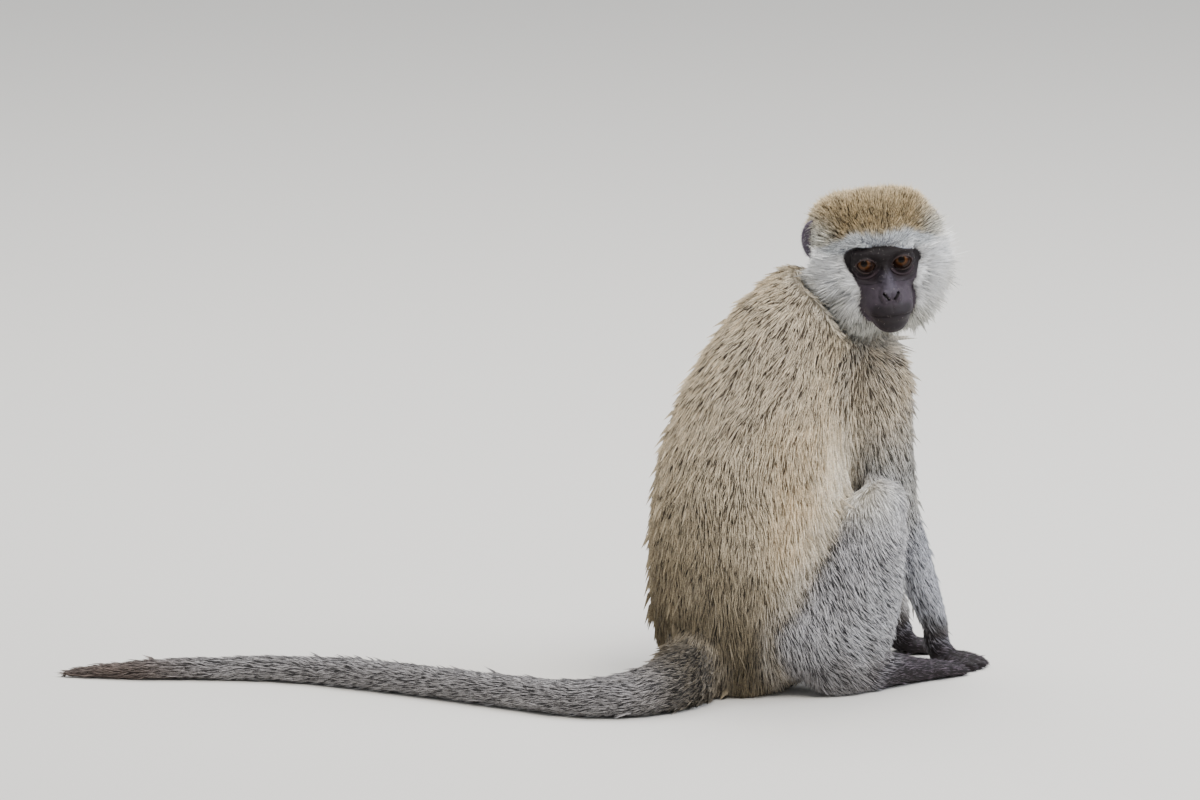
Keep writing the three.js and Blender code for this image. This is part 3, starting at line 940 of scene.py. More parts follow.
    def draw_in(self) -> Array:
        """Evens out the cast, draws it in by the depth of the coat and cuts the clefts between the digits.

        Returns:
            Its vertices.
        """
        mesh = self.piece.data
        edges, points = edges_of(mesh), places(mesh)
        low = points[:, 2]
        smooth = spread(points, edges, 6)
        paw = self.near_part("foot", "hand", rounds=3)
        points = smooth * (1 - 0.75 * paw) + points * 0.75 * paw
        points[:, 2] = np.where(low < self.sole, low, points[:, 2])
        set_places(mesh, points)
        depth = spread(self.per_part(lambda coat: coat.depth)[:, None], edges, 12)[:, 0]
        depth *= smoothstep(0.0, 0.03, points[:, 2]) * 0.85 + 0.15
        points = points - normals_of(mesh) * (depth * MM)[:, None]
        points[:, 2] = np.maximum(points[:, 2], SKIN_FLOOR)
        points = np.where(paw > 0.5, points, spread(points, edges, 4))
        cleft = bell(self.beside_digits(points / MM), self.cleft_width)
        cleft = cleft * (points[:, 2] < 0.02) * (points[:, 2] > 0.001)
        points -= normals_of(mesh) * (cleft * self.cleft * MM)[:, None]
        points[:, 2] = np.maximum(points[:, 2], SKIN_FLOOR)
        set_places(mesh, points)
        return points

    def fill_folds(self, points: Array) -> None:
        """Fills the folds between the trunk and the limbs, as loose skin does."""
        limb = self.near_part("upper_arm", "thigh", "tail_1", rounds=20)
        limb *= self.near_part("trunk", rounds=20)
        fold = np.clip(limb * 4, 0, 1) * (points[:, 2:] > 0.012)
        fold *= np.maximum(smoothstep(0.15, 0.17, points[:, 2:]), smoothstep(0.10, 0.08, points[:, 2:]))
        mesh = self.piece.data
        set_places(mesh, points * (1 - fold) + spread(points, edges_of(mesh), 45) * fold)

    def mend(self) -> None:
        """Keeps the skin's one outer shell, and softens the seam under the head's hair."""
        mesh = self.piece.data
        edges = edges_of(mesh)
        shell = np.arange(len(mesh.vertices))
        while True:
            least = np.minimum(shell[edges[:, 0]], shell[edges[:, 1]])
            new = shell.copy()
            np.minimum.at(new, edges[:, 0], least)
            np.minimum.at(new, edges[:, 1], least)
            new = new[new]
            if np.array_equal(new, shell):
                break
            shell = new
        kept = np.bincount(shell).argmax()
        edit_vertices(self.piece, shell != kept, lambda: bpy.ops.mesh.delete(type="VERT"))
        points, edges = places(mesh), edges_of(mesh)
        q = self.head.to_local(points)
        seam = smoothstep(2, -14, q[:, 0]) * smoothstep(10, -14, q[:, 2])
        seam = seam * smoothstep(95, 70, np.linalg.norm(q, axis=1))
        chin = smoothstep(-28, -38, q[:, 2]) * smoothstep(36, 28, q[:, 0])
        seam = np.maximum(seam, chin * smoothstep(-95, -75, q[:, 2]))
        seam *= points[:, 2] > 0.2
        set_places(mesh, points * (1 - seam[:, None]) + spread(points, edges, 24) * seam[:, None])
        mesh.polygons.foreach_set("use_smooth", np.ones(len(mesh.polygons), bool))


def coat_name(part: str) -> str:
    """The coat of a solid: its name without side or number."""
    if part == "head":
        return "neck"
    for name in COATS:
        if part.startswith(name):
            return name
    raise KeyError(part)


# ---- Markings and lie ----


@dataclass
class Markings:
    """For each point of the skin: the hair's traits, colours and lie, and the bare skin's tint."""

    skin: Skin
    numbers: Array = field(init=False)
    dark: Array = field(init=False)
    light: Array = field(init=False)
    root: Array = field(init=False)
    hide: Array = field(init=False)
    flow: Array = field(init=False)
    local: Array = field(init=False)
    in_head: Array = field(init=False)
    off_head: Array = field(init=False)

    # how far the back leans forward and where the trunk's middle is, by height, and the tail's course
    SPINE: Course = ((0.0, 0.0), (0.165, 0.0), (0.215, 0.5), (0.286, 0.8), (0.36, 0.9))
    MIDLINE: Course = (
        (0.024, -0.014), (0.06, -0.014), (0.11, -0.010), (0.165, -0.001),
        (0.215, 0.014), (0.258, 0.039), (0.286, 0.066),
    )
    TAIL: Course = (
        (-0.046, 0.002), (-0.078, -0.024), (-0.112, -0.046), (-0.148, -0.048),
        (-0.182, -0.026), (-0.204, 0.022), (-0.230, 0.090), (-0.258, 0.155),
        (-0.290, 0.215), (-0.338, 0.262), (-0.388, 0.298), (-0.426, 0.332),
    )

    def middle(self, part: str) -> Array:
        """The middle of a solid's box."""
        return np.mean(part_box(part), axis=0)

    def lie_of(self, part: str, points: Array) -> Array:
        """The way the hair points on one solid, before it is laid on the skin.

        Args:
            part: The solid's name.
            points: Places on it.

        Returns:
            One direction for each place.
        """
        name, _, side = part.rpartition("_")
        chain = {"upper_arm": "forearm", "forearm": "hand", "shin": "foot"}
        if name in chain:
            way = self.middle(f"{chain[name]}_{side}") - self.middle(part)
        elif name == "thigh":
            way = 0.5 * unit(self.middle(f"shin_{side}") - self.middle(part)) + np.array([0, 0, -0.85])
        elif name == "foot":
            way = np.array([1.0, -0.2 * SIDES[side], -0.1])
        elif name == "hand":
            way = (self.middle(part) - self.middle(f"forearm_{side}")) * np.array([1, 1, 0.2])
        elif name == "tail":
            route = np.array(self.TAIL)
            mid = (route[1:] + route[:-1]) / 2
            nearest = np.argmin(np.linalg.norm(points[:, None, :2] - mid[None], axis=2), axis=1)
            return np.column_stack([unit(np.diff(route, axis=0))[nearest], np.full(len(points), -0.05)])
        else:
            heights, slopes = np.array(self.SPINE).T
            slope = np.interp(points[:, 2], heights, slopes)
            return unit(np.column_stack([-slope, np.zeros(len(points)), -np.ones(len(points))]))
        return np.tile(unit(way), (len(points), 1))

    def bare_face(self, q: Array) -> Array:
        """How far points lie inside the outline of the bare face, in millimetres; negative in the fur."""
        heights = (-45, -42, -37, -29, -21, -9, -1, 5, 10, 14, 17, 19.5, 21.5, 23.2)
        widths = (-4, 8, 17, 21.5, 23, 21, 24.5, 28, 30.5, 30, 28, 25, 21, 8)
        z = q[:, 2] + 0.09 * q[:, 1] * smoothstep(0, 15, q[:, 2])
        wide = np.interp(z, heights, widths) - np.abs(q[:, 1] - 1.2)
        inside = np.minimum(np.minimum(wide, q[:, 0] - 13), np.minimum(23.4 - z, z + 44))
        return inside + 0.4 * ripple(q, 2.2, 21)

    def head_zones(self, q: Array) -> dict[HeadZone, Array]:
        """Divides the head between its coats.

        Args:
            q: Points in the head's frame.

        Returns:
            How much of each coat is at each point; the shares add up to one.
        """
        side = np.abs(q[:, 1])
        face = smoothstep(-0.6, 0.9, self.bare_face(q))
        edge = np.interp(q[:, 0], (-45, -22, -4, 14, 27), (2, 7, 12, 22.5, 32.0)) + 0.8 * ripple(q, 9.0, 4)
        top = smoothstep(-1.8, 1.8, q[:, 2] - edge)
        temple = smoothstep(24, 40, side) * smoothstep(48, 26, q[:, 2]) * smoothstep(-34, -10, q[:, 0])
        back = smoothstep(0, -32, q[:, 0] + 5 * ripple(q, 16.0, 19)) * smoothstep(28, 6, q[:, 2])
        brow = smoothstep(15, 19, q[:, 2]) * smoothstep(8, 16, q[:, 0])
        low = smoothstep(-18, -35, q[:, 2] + 2 * ripple(q, 8.0, 17))
        shares = {HeadZone.FACE: face}
        rest = 1 - face
        for zone, part in (
            (HeadZone.TEMPLE, top * temple),
            (HeadZone.CROWN, top),
            (HeadZone.NAPE, back),
            (HeadZone.BROW, brow),
            (HeadZone.THROAT, low),
        ):
            shares[zone] = rest * part
            rest = rest * (1 - part)
        shares[HeadZone.CHEEK] = rest
        return shares

    def head_lie(self, q: Array) -> Array:
        """The head's hair fans out from the middle of the face, and back over the crown and the cheeks."""
        out = q - np.array([20.0, 0.0, 2.0])
        out[:, 0] = 0
        way = unit(out)
        crown = smoothstep(20, 45, q[:, 2])
        way[:, 0] = -0.55 - 0.9 * crown - 0.8 * smoothstep(0, -30, q[:, 0])
        way[:, 2] -= 0.45 * smoothstep(5, -25, q[:, 2]) + 1.9 * smoothstep(0, -32, q[:, 0])
        return unit(way)

    def make(self) -> None:
        """Works out every field, smooths it over the borders between parts and lays the hair on the skin."""
        mesh = self.skin.piece.data
        points, edges, normals = places(mesh), edges_of(mesh), normals_of(mesh)
        self.local = q = self.skin.head.to_local(points)
        self.off_head = off_head = self.skin.head.solid(q)
        by_ear = folded(q) - Ear.at
        ear = (off_head > 1.0) & (np.linalg.norm(by_ear, axis=1) < 25) & (by_ear[:, 2] > -22)
        self.in_head = np.where(ear, 1.0, smoothstep(6.0, 1.5, off_head))
        numbers, dark, light, root, lie = self.body_fields(points, edges)
        self.vary_body(numbers, points, normals)
        w = self.in_head[:, None]
        shares = self.head_zones(q)
        self.numbers = numbers * (1 - w) + self.head_numbers(q, shares) * w

        def mixed(body: Array, tint: Callable[[Coat], str]) -> Array:
            """The body's colours with the head's mixed in."""
            of_head = sum(share[:, None] * np.array(linear(tint(z.value))) for z, share in shares.items())
            return body * (1 - w) + of_head * w

        self.dark = mixed(dark, lambda c: c.dark)
        self.light = mixed(light, lambda c: c.light)
        self.root = mixed(root, lambda c: c.root)
        self.mark_cheeks(shares[HeadZone.CHEEK] * self.in_head)
        self.mark_body(points, normals)
        lie = lie * (1 - w) + (self.head_lie(q) @ self.skin.head.turn.T) * w
        sway = ripple(points, 0.045, 3)[:, None] * np.cross(normals, lie) * 0.16
        lie = lie + sway
        lie -= normals * np.sum(lie * normals, axis=1, keepdims=True)
        self.flow = unit(lie)
        self.numbers[ear] = (3.2, 32, 0.3, 0.6, 0.6, 0.0, 0.0)
        self.dark[ear], self.light[ear] = linear("5a5260"), linear("cfccd2")
        under = smoothstep(-2.4, -0.8, self.bare_face(q))
        self.tint_hide(under * self.in_head, ear)
        paint(mesh, "Hide", self.hide)

    def body_fields(self, points: Array, edges: Array) -> list[Array]:
        """Gives every point the coat of its solid, smoothed over the borders.

        Args:
            points: The skin's vertices.
            edges: Its edges.

        Returns:
            The numbers, the dark, light and root colours, and the lie.
        """
        labels, label = self.skin.labels, self.skin.label
        coats = [COATS[coat_name(name)] for name in labels]

        def pick(value: Callable[[Coat], Sequence[float]]) -> Array:
            """A row of each point's coat."""
            return np.array([value(coat) for coat in coats])[label]

        lie = np.zeros_like(points)
        for k, name in enumerate(labels):
            here = label == k
            if here.any():
                lie[here] = self.lie_of("neck" if name.startswith(("head", "ear")) else name, points[here])
        tints = [pick(lambda c, kind=kind: linear(getattr(c, kind))) for kind in ("dark", "light", "root")]
        numbers = pick(lambda c: [getattr(c, trait) for trait in TRAITS])
        return np.split(spread(np.column_stack([numbers, *tints, lie]), edges, 48), [7, 10, 13, 16], axis=1)

    def head_numbers(self, q: Array, shares: dict[HeadZone, Array]) -> Array:
        """The hair's numbers on the head.

        Args:
            q: Points in the head's frame.
            shares: How much of each head coat is at each.

        Returns:
            One row of traits for each point.
        """
        numbers = sum(
            share[:, None] * np.array([getattr(zone.value, trait) for trait in TRAITS])
            for zone, share in shares.items()
        )
        furred = 1 - shares[HeadZone.FACE]
        # at the edge of the bare face the hair starts short and thick-set
        margin = smoothstep(-8, -0.5, self.bare_face(q))
        numbers[:, Trait.LENGTH] *= 1 - (0.45 + 0.3 * smoothstep(8, 18, q[:, 2])) * margin * furred
        numbers[:, Trait.CROWDING] *= 1 + 0.3 * margin * furred
        # it is short before the right ear, which shows; over the left one it is long and stands out
        place = np.column_stack([q[:, 0] + 7, np.abs(q[:, 1]) - 41, (q[:, 2] - 16) * 0.6])
        before = smoothstep(21, 10, np.linalg.norm(place, axis=1))
        before = before * np.where(q[:, 1] < 0, 1.0, 0.9 - 1.8 * smoothstep(-4, 6, q[:, 0]))
        numbers[:, Trait.LENGTH] *= 1 - 0.55 * before
        numbers[:, Trait.LIFT] *= 1 - 0.35 * before
        # the cheek's hair is longest below the ear, and falls back over the shoulder
        side, height = np.abs(q[:, 1]), q[:, 2]
        ruff = smoothstep(30, 42, side) * smoothstep(6, -6, height) * smoothstep(-38, -20, height)
        numbers[:, Trait.LENGTH] += 7 * ruff * smoothstep(14, 2, q[:, 0])
        return numbers

    def vary_body(self, numbers: Array, points: Array, normals: Array) -> None:
        """Lengthens, lifts and lightens the body's hair from place to place.

        Args:
            numbers: The traits, which are changed.
            points: The skin's vertices.
            normals: Its normals.
        """
        x, _, z = points.T
        is_part = self.skin.is_part
        # on the shoulder the coat is shorter and fuzzier where it meets the cheek's long hair
        close = smoothstep(28, 8, self.off_head) * smoothstep(12, -10, self.local[:, 2])
        numbers[:, Trait.LENGTH] *= 1 - 0.25 * close
        numbers[:, Trait.LIFT] *= 1 + 0.2 * close
        # the front of the chest and shoulders is fluffier
        chest = bell(z - 0.255, 0.035) * smoothstep(0.088, 0.105, x) * smoothstep(0.2, 0.7, normals[:, 0])
        seat = smoothstep(0.11, 0.05, z) * smoothstep(0.0, -0.03, x) * is_part("trunk")
        tail_root = smoothstep(-0.13, -0.07, x) * is_part("tail")
        flank = self.cream(points) * is_part("trunk")
        # the knee's top gets more light hair: pale hair, partly a painted highlight
        knee = bell(np.linalg.norm(folded(points) - (0.070, 0.072, 0.162), axis=1), 0.028)
        # each place with what it adds to the length, the lift and the share of light hair
        for where, length, lift, share in (
            (chest, 6, 14, 0),
            (seat, 6, 0, 0),
            (tail_root, 5, 8, 0),
            (flank, 5, 8, 0.32),
            (knee * is_part("thigh", "shin"), 0, 0, 0.3),
            (self.throat(x), 5, 14, 0.25),
            (self.beside_head(), 0, 0, 0.3),
        ):
            numbers[:, Trait.LENGTH] += length * where
            numbers[:, Trait.LIFT] += lift * where
            numbers[:, Trait.SHARE] += share * where

    def throat(self, x: Array) -> Array:
        """How much each point lies on the throat and the top of the chest, under the head."""
        return smoothstep(34, 10, self.off_head) * smoothstep(0.086, 0.104, x)

    def beside_head(self) -> Array:
        """How much each point lies where neck and shoulder are pale under and beside the head, partly with
        painted light in the crease.
        """
        return smoothstep(24, 6, self.off_head) * smoothstep(16, -4, self.local[:, 2])

    def mark_cheeks(self, cheek: Array) -> None:
        """Greys the hair of the cheeks, which cheek tells for each point: far from the face, and low down as
        painted shade.
        """
        q = self.local
        inside = self.bare_face(q)
        self.shift(0.6 * (cheek * smoothstep(-14, -34, inside)), "8f8b80", "efece2", "99958a")
        # low on the cheeks, most on the right one, the hair is greyed and has fewer light hairs: painted
        # shade
        outer = smoothstep(-2, -8, inside) * np.where(q[:, 1] < 0, 1.0, 0.4)
        low = cheek * smoothstep(-5, -20, q[:, 2]) * outer
        self.shift(0.8 * low, "6b6a65", "cfcdc6", "75736d")
        self.numbers[:, Trait.SHARE] -= 0.2 * low

    def shift(self, amount: Array, dark: str, light: str, root: str | None = None) -> None:
        """Mixes another pair of hair colours in by an amount for each point."""
        a = amount[:, None]
        self.dark = self.dark * (1 - a) + np.array(linear(dark)) * a
        self.light = self.light * (1 - a) + np.array(linear(light)) * a
        self.root = self.root * (1 - a) + np.array(linear(root or dark)) * a

    @staticmethod
    def cream(points: Array) -> Array:
        """How much each point lies in the band of cream hair along the front of the flank, over the thigh."""
        return bell(bar(folded(points), (0.058, 0.042, 0.186), (0.022, 0.064, 0.100), 0.0, 0.0), 0.030)

    def mark_body(self, points: Array, normals: Array) -> None:
        """Colours the body's hair from place to place: warm flank, a rump dark partly with painted shade,
        pale belly, and so on.

        Args:
            points: The skin's vertices.
            normals: Its normals.
        """
        x, y, z = points.T
        is_part, near_part = self.skin.is_part, self.skin.near_part
        trunk, leg, side = is_part("trunk"), is_part("thigh", "shin"), np.abs(y)
        furred = 1 - self.in_head
        shoulder = is_part("upper_arm") * smoothstep(0.165, 0.235, z + 0.006 * ripple(points, 0.02, 15))
        self.shift(0.85 * shoulder * smoothstep(0.125, 0.10, x), "544a3d", "eddcc0", "463c30")
        body = near_part("trunk", "neck", "head", rounds=16)[:, 0] * furred
        flank = bell(z - 0.15, 0.07) * smoothstep(-0.045, 0.0, x) * smoothstep(0.03, 0.055, side)
        flank *= 0.8 + 0.25 * ripple(points, 0.05, 8)
        self.shift(0.7 * flank * body, "806844", "fbe2b6", "635034")
        # the rump and the low back along the spine are darker: partly their own colour, partly painted shade
        rump = smoothstep(0.135, 0.03, z + 0.25 * x + 0.014 * ripple(points, 0.035, 12))
        self.shift(0.92 * rump * body, "272219", "7b6e54", "1e1a14")
        spine = bell(z - 0.12, 0.06) * smoothstep(-0.03, -0.08, x)
        self.shift(0.6 * spine * body, "3f3829", "b3a283", "302a20")
        # the legs darken towards the floor: painted shade
        under = smoothstep(0.06, 0.012, z + 0.008 * ripple(points, 0.03, 14)) * leg
        self.shift(0.75 * under, "2f2b2b", "938d8b", "272323")
        # the flank's tan and the leg's grey run into each other
        near_trunk = smoothstep(0.02, 0.42, near_part("trunk", rounds=44)[:, 0])
        self.shift(0.75 * (leg * near_trunk), "4a4338", "d6cab6", "3d372d")
        near_leg = smoothstep(0.02, 0.42, near_part("thigh", "shin", rounds=44)[:, 0])
        self.shift(0.45 * near_leg * trunk, "4a4640", "d8d0c4")
        heights, middles = np.array(self.MIDLINE).T
        belly = smoothstep(0.038, 0.056, x - np.interp(z, heights, middles))
        facing = normals[:, 0] - 0.35 * np.abs(normals[:, 1])
        front = smoothstep(-0.05, 0.35, facing) * is_part("trunk", "neck")
        self.shift(0.85 * front * belly * furred, "aaa398", "f4efe6", "9a9187")
        # beside the head the hair is paler: partly its own colour, partly painted light that lifts the
        # crease's shade
        self.shift(0.8 * self.beside_head() * furred, "a89c88", "f6efe0", "a39883")
        under_head = 0.75 * smoothstep(17, 5, self.off_head) * smoothstep(0, -20, self.local[:, 2])
        bib = np.maximum(0.9 * self.throat(x), under_head) * np.maximum(body, is_part("upper_arm"))
        self.shift(bib * furred, "a5a19b", "fbf9f4", "9d9993")
        armpit = np.exp(-np.square((x - 0.062) / 0.028) - np.square((z - 0.165) / 0.045))
        self.shift(0.75 * armpit * body * smoothstep(0.02, 0.05, side), "b5a27c", "fff0d2", "94856a")
        # cream hair along the front of the flank, where it falls over the thigh, and a pale knee with a
        # painted highlight
        self.shift(0.98 * self.cream(points) * body, "dccdae", "fffaf0", "c4b594")
        half = folded(points)
        # the knee: pale hair, whitened on top as a painted highlight
        knee = bell(np.linalg.norm(half - (0.072, 0.074, 0.160), axis=1), 0.028)
        self.shift(0.9 * knee * leg, "b4b3b8", "ffffff")
        over_knee = bell(np.linalg.norm(half - (0.056, 0.064, 0.166), axis=1), 0.022)
        self.shift(0.8 * over_knee * is_part("thigh"), "cfc5a8", "fff9ea")
        inner = smoothstep(0.15, 0.7, -np.sign(y) * normals[:, 1])
        self.shift(0.7 * inner * is_part("thigh", "shin", "upper_arm", "forearm"), "a09a95", "eeeae4")
        wrist = is_part("forearm") * smoothstep(0.056, 0.03, z)
        ankle = is_part("shin") * smoothstep(0.03, 0.012, z) * smoothstep(0.05, 0.07, x)
        self.shift(0.9 * (wrist + ankle), "1e191a", "5f5856")
        tail = is_part("tail")
        # the tail is darker near its root: partly its own colour, partly painted shade
        self.shift(0.95 * (tail * smoothstep(-0.17, -0.09, x)), "27221c", "7a6f5b", "201c16")
        self.shift(0.75 * (tail * smoothstep(-0.335, -0.40, x)), "33261f", "7b6455")

    def tint_hide(self, face: Array, ear: Array) -> None:
        """Colours the skin: underfur tone under the coat, dark purple-brown on face, ears, hands and feet.

        Args:
            face: How much each point lies on the bare face.
            ear: Which points lie on an ear.
        """
        q = self.local
        self.hide = self.root * 0.5 + 0.35 * self.dark + 0.15 * self.light
        half = folded(q)
        bare = np.tile(linear("3b333b"), (len(q), 1))
        around = smoothstep(17, 8, np.hypot(half[:, 1] - 15.2, half[:, 2] - 9)) * (q[:, 0] > 20)
        bridge_reflection = smoothstep(9, 2, half[:, 1]) * smoothstep(8, 2, q[:, 2]) * smoothstep(-14, -6, q[:, 2])
        lips = smoothstep(-14, -19, q[:, 2]) * smoothstep(54, 62, q[:, 0])

        def over(amount: Array, code: str) -> None:
            """Lays a colour over the bare skin's, by an amount for each point."""
            nonlocal bare
            bare = bare * (1 - amount[:, None]) + np.array(linear(code)) * amount[:, None]

        over(0.95 * around, "120b0c")
        over(smoothstep(10, 15, q[:, 2]), "0e0504")
        over(smoothstep(-6, 4, q[:, 2]) * (q[:, 0] > 10), "150e10")
        # the bridge of the nose is painted a lighter blue-grey: a painted reflection of the sky
        over(0.6 * bridge_reflection, "443f4a")
        over(0.8 * lips, "171113")
        pouch = bell(np.hypot(half[:, 1] - 15.2, q[:, 2] - 10) - 10.2, 1.6) * smoothstep(8, 3, q[:, 2])
        over(0.5 * pouch * (q[:, 0] > 24), "42333a")
        line = self.skin.head.lid_line(half)
        over(0.7 * bell(line - 0.6, 0.5) * (q[:, 0] > 34), "4e3e3c")
        over(smoothstep(-0.1, -0.5, line) * (q[:, 0] > 30), "120c0b")
        # the nostrils and the line of the mouth are painted near-black: painted shade in their grooves
        nostril = bell(self.skin.head.nostril(half), 0.8) * (q[:, 0] > 54)
        over(nostril, "0d090a")
        mouth = bell(q[:, 2] - self.skin.head.lip_line(q), 0.9) * smoothstep(50, 62, q[:, 0])
        over(0.8 * mouth, "150d0f")
        f = face[:, None]
        self.hide = self.hide * (1 - f) + bare * f
        self.hide[ear] = linear("655c6b")
        paws = self.skin.near_part("foot", "hand", rounds=3)
        self.hide = self.hide * (1 - paws) + np.array(linear("1b1517")) * paws


# ---- The coat ----


@dataclass
class Fur:
    """All tufts: each a closed, bent sliver of four faces, rooted in the skin, in pieces by region."""

    skin: Skin
    marks: Markings
    tufts: int = 360_000
    most_in_piece: int = 49_000
    streak_size: float = 0.0011
    lock_size: float = 0.0032
    root_depth: float = 0.0006
    finish: Material | None = None

    FACES: tuple[tuple[int, int, int], ...] = ((0, 2, 1), (3, 1, 2), (0, 1, 3), (0, 3, 2))
    PATCH: float = 0.003

    def region_of(self, corner: Array, middle: Array, in_head: Array) -> Array:
        """Finds the coat piece that each tuft belongs to.

        Args:
            corner: One vertex of the skin's face that it grows on.
            middle: The middle of that face.
            in_head: How much the face lies on the head.

        Returns:
            The number of its name in region_names().
        """
        q = self.skin.head.to_local(middle)
        names = self.region_names()
        owner = [names.index(self.part_region(name)) for name in self.skin.labels]
        region = np.array(owner)[self.skin.label[corner]]
        back = region == names.index("back_lower")
        head, low = in_head > 0.5, q[:, 2] < 14
        for where, name in (
            (back & (middle[:, 2] > 0.095), "back_middle"),
            (back & (middle[:, 2] > 0.175), "back_upper"),
            (back & (middle[:, 2] > 0.245), "shoulders"),
            (head & ~low, "crown"),
            (head & low & (q[:, 1] >= 0), "cheek_left"),
            (head & low & (q[:, 1] < 0), "cheek_right"),
            (middle[:, 0] < -0.37, "tail_tip"),
        ):
            region[where] = names.index(name)
        return region

    @staticmethod
    def region_names() -> list[str]:
        """The coat's pieces."""
        limbs = [f"{limb}_{side}" for limb in ("arm", "leg") for side in SIDES]
        body = ["back_lower", "back_middle", "back_upper", "shoulders", "crown", "cheek_left", "cheek_right"]
        return [*body, *limbs, "tail", "tail_tip"]

    @staticmethod
    def slot_of(name: str) -> str:
        """The finish slot of a coat piece."""
        if name.startswith("coat_tail_tip"):
            return "tail_tip_fur"
        if name.startswith("coat_crown"):
            return "crown_fur"
        return "grey_fur" if name.startswith(("coat_arm", "coat_leg", "coat_tail")) else "body_fur"

    @staticmethod
    def part_region(part: str) -> str:
        """The coat piece of a solid."""
        side = part.rpartition("_")[2]
        if part.startswith(("upper_arm", "forearm", "hand")):
            return f"arm_{side}"
        if part.startswith(("thigh", "shin", "foot")):
            return f"leg_{side}"
        return "tail" if part.startswith("tail") else "back_lower"

    def make(self) -> list[Object]:
        """Plants the tufts.

        Returns:
            The coat's pieces.
        """
        mesh = self.skin.piece.data
        points, normals = places(mesh), normals_of(mesh)
        faces = faces_of(mesh)
        uv = read(mesh.uv_layers[BAKE_MAP].data, "uv", 2).reshape(-1, 3, 2)
        corner = points[faces]
        cross = np.cross(corner[:, 1] - corner[:, 0], corner[:, 2] - corner[:, 0])
        area = np.linalg.norm(cross, axis=1) / 2
        middle = corner.mean(axis=1)
        crowd = self.marks.numbers[faces, Trait.CROWDING].mean(axis=1)
        floor = (middle[:, 2] < 0.0025) & (cross[:, 2] < 0)
        weight = area * crowd * ~floor
        count = self.tufts
        rng = np.random.default_rng(11)
        marks = (np.arange(count) + rng.random(count)) / count * weight.sum()
        chosen = np.searchsorted(np.cumsum(weight), marks).clip(0, len(faces) - 1)
        a, b = np.sqrt(rng.random(count)), rng.random(count)
        bary = np.column_stack([1 - a, a * (1 - b), a * b])
        at = faces[chosen]

        def blend(values: Array) -> Array:
            """Values of the skin's vertices at the roots."""
            return np.einsum("nk,nkd->nd", bary, values[at])

        root, normal, flow = blend(points), unit(blend(normals)), unit(blend(self.marks.flow))
        numbers = blend(self.marks.numbers)
        root_uv = np.einsum("nk,nkd->nd", bary, uv[chosen])
        colours = [blend(c) for c in (self.marks.root, self.marks.dark, self.marks.light)]
        streak = rng.normal(0, 1, count)[self.locks(root, self.streak_size)]
        share = numbers[:, Trait.SHARE]
        mixed = share * (1 - share)
        share = np.clip(share + mixed * (0.6 * streak + 0.5 * ripple(root, 0.006, 9)), 0, 1)
        pale = rng.random(count) < share
        vertices = self.shape(root, normal, flow, numbers, pale, rng)
        fleck = numbers[:, Trait.FLECK]
        tints = self.tint(pale, fleck, *colours, rng) * (1 + 0.07 * streak.clip(-2, 2))[:, None, None]
        flecks = np.repeat(fleck[:, None, None], 4, axis=1)
        tints = np.concatenate([tints, flecks], axis=2)
        in_head = self.marks.in_head[faces].mean(axis=1)[chosen]
        region = self.region_of(at[:, 0], middle[chosen], in_head)
        made = []
        for k, name in enumerate(self.region_names()):
            here = np.flatnonzero(region == k)
            pieces = math.ceil(len(here) / self.most_in_piece)
            for part in range(pieces):
                some = here[part::pieces]
                title = f"coat_{name}" + (f"_{part + 1}" if part else "")
                made.append(self.piece(title, vertices[some], tints[some], root_uv[some]))
        return made

    @staticmethod
    def locks(root: Array, size: float) -> Array:
        """Numbers the locks, cells of the given size, that hairs with these roots belong to."""
        cell = np.floor(root @ turned(31, 17, 9).T / size).astype(np.int64)
        _, lock = np.unique(cell @ np.array([73856093, 19349663, 83492791]), return_inverse=True)
        return lock.ravel()

    def shape(
        self, root: Array, normal: Array, flow: Array, numbers: Array, pale: Array, rng: np.random.Generator
    ) -> Array:
        """Bends every tuft from its root along the lie of the coat; the light hairs lie over the dark ones.

        Args:
            root: Places on the skin.
            normal: The skin's normals there.
            flow: The lie of the hair there.
            numbers: Length, lift, width, crowding, share of light hair, banding and share of strays.
            pale: Which hairs are light ones.
            rng: The source of chance.

        Returns:
            Four vertices for each tuft, (n, 4, 3).
        """
        count = len(root)
        stray = pale & (rng.random(count) < numbers[:, Trait.STRAY])
        length = numbers[:, Trait.LENGTH] * MM * rng.uniform(0.72, 1.18, count)
        length *= 1 + 0.06 * ripple(root, 0.012, 5)
        length *= np.where(stray, 1.35, 1.0) * np.where(pale, 1.03, 0.93)
        lift = np.radians(numbers[:, Trait.LIFT])
        lift *= 1 + 0.08 * ripple(root, 0.011, 6) + rng.normal(0, 0.2, count)
        lift = np.minimum(lift * np.where(stray, 1.5, 1.0) * np.where(pale, 1.05, 0.86), 1.4)
        sway = 0.08 * ripple(root, 0.013, 7) + rng.normal(0, 0.14, count)
        side = np.cross(normal, flow)
        way = unit(flow + side * sway[:, None])
        side = np.cross(normal, way)
        erect = smoothstep(28, 50, numbers[:, Trait.LIFT])
        low = lift * (0.38 + 0.5 * erect)

        def lifted(angle: Array) -> Array:
            """The hair's way, turned up from the skin by an angle."""
            return way * np.cos(angle)[:, None] + normal * np.sin(angle)[:, None]

        first, second = lifted(lift * 1.15), lifted(low)
        foot = root - normal * self.root_depth
        mid = foot + first * (length * 0.42)[:, None]
        tip = mid + second * (length * 0.58)[:, None]
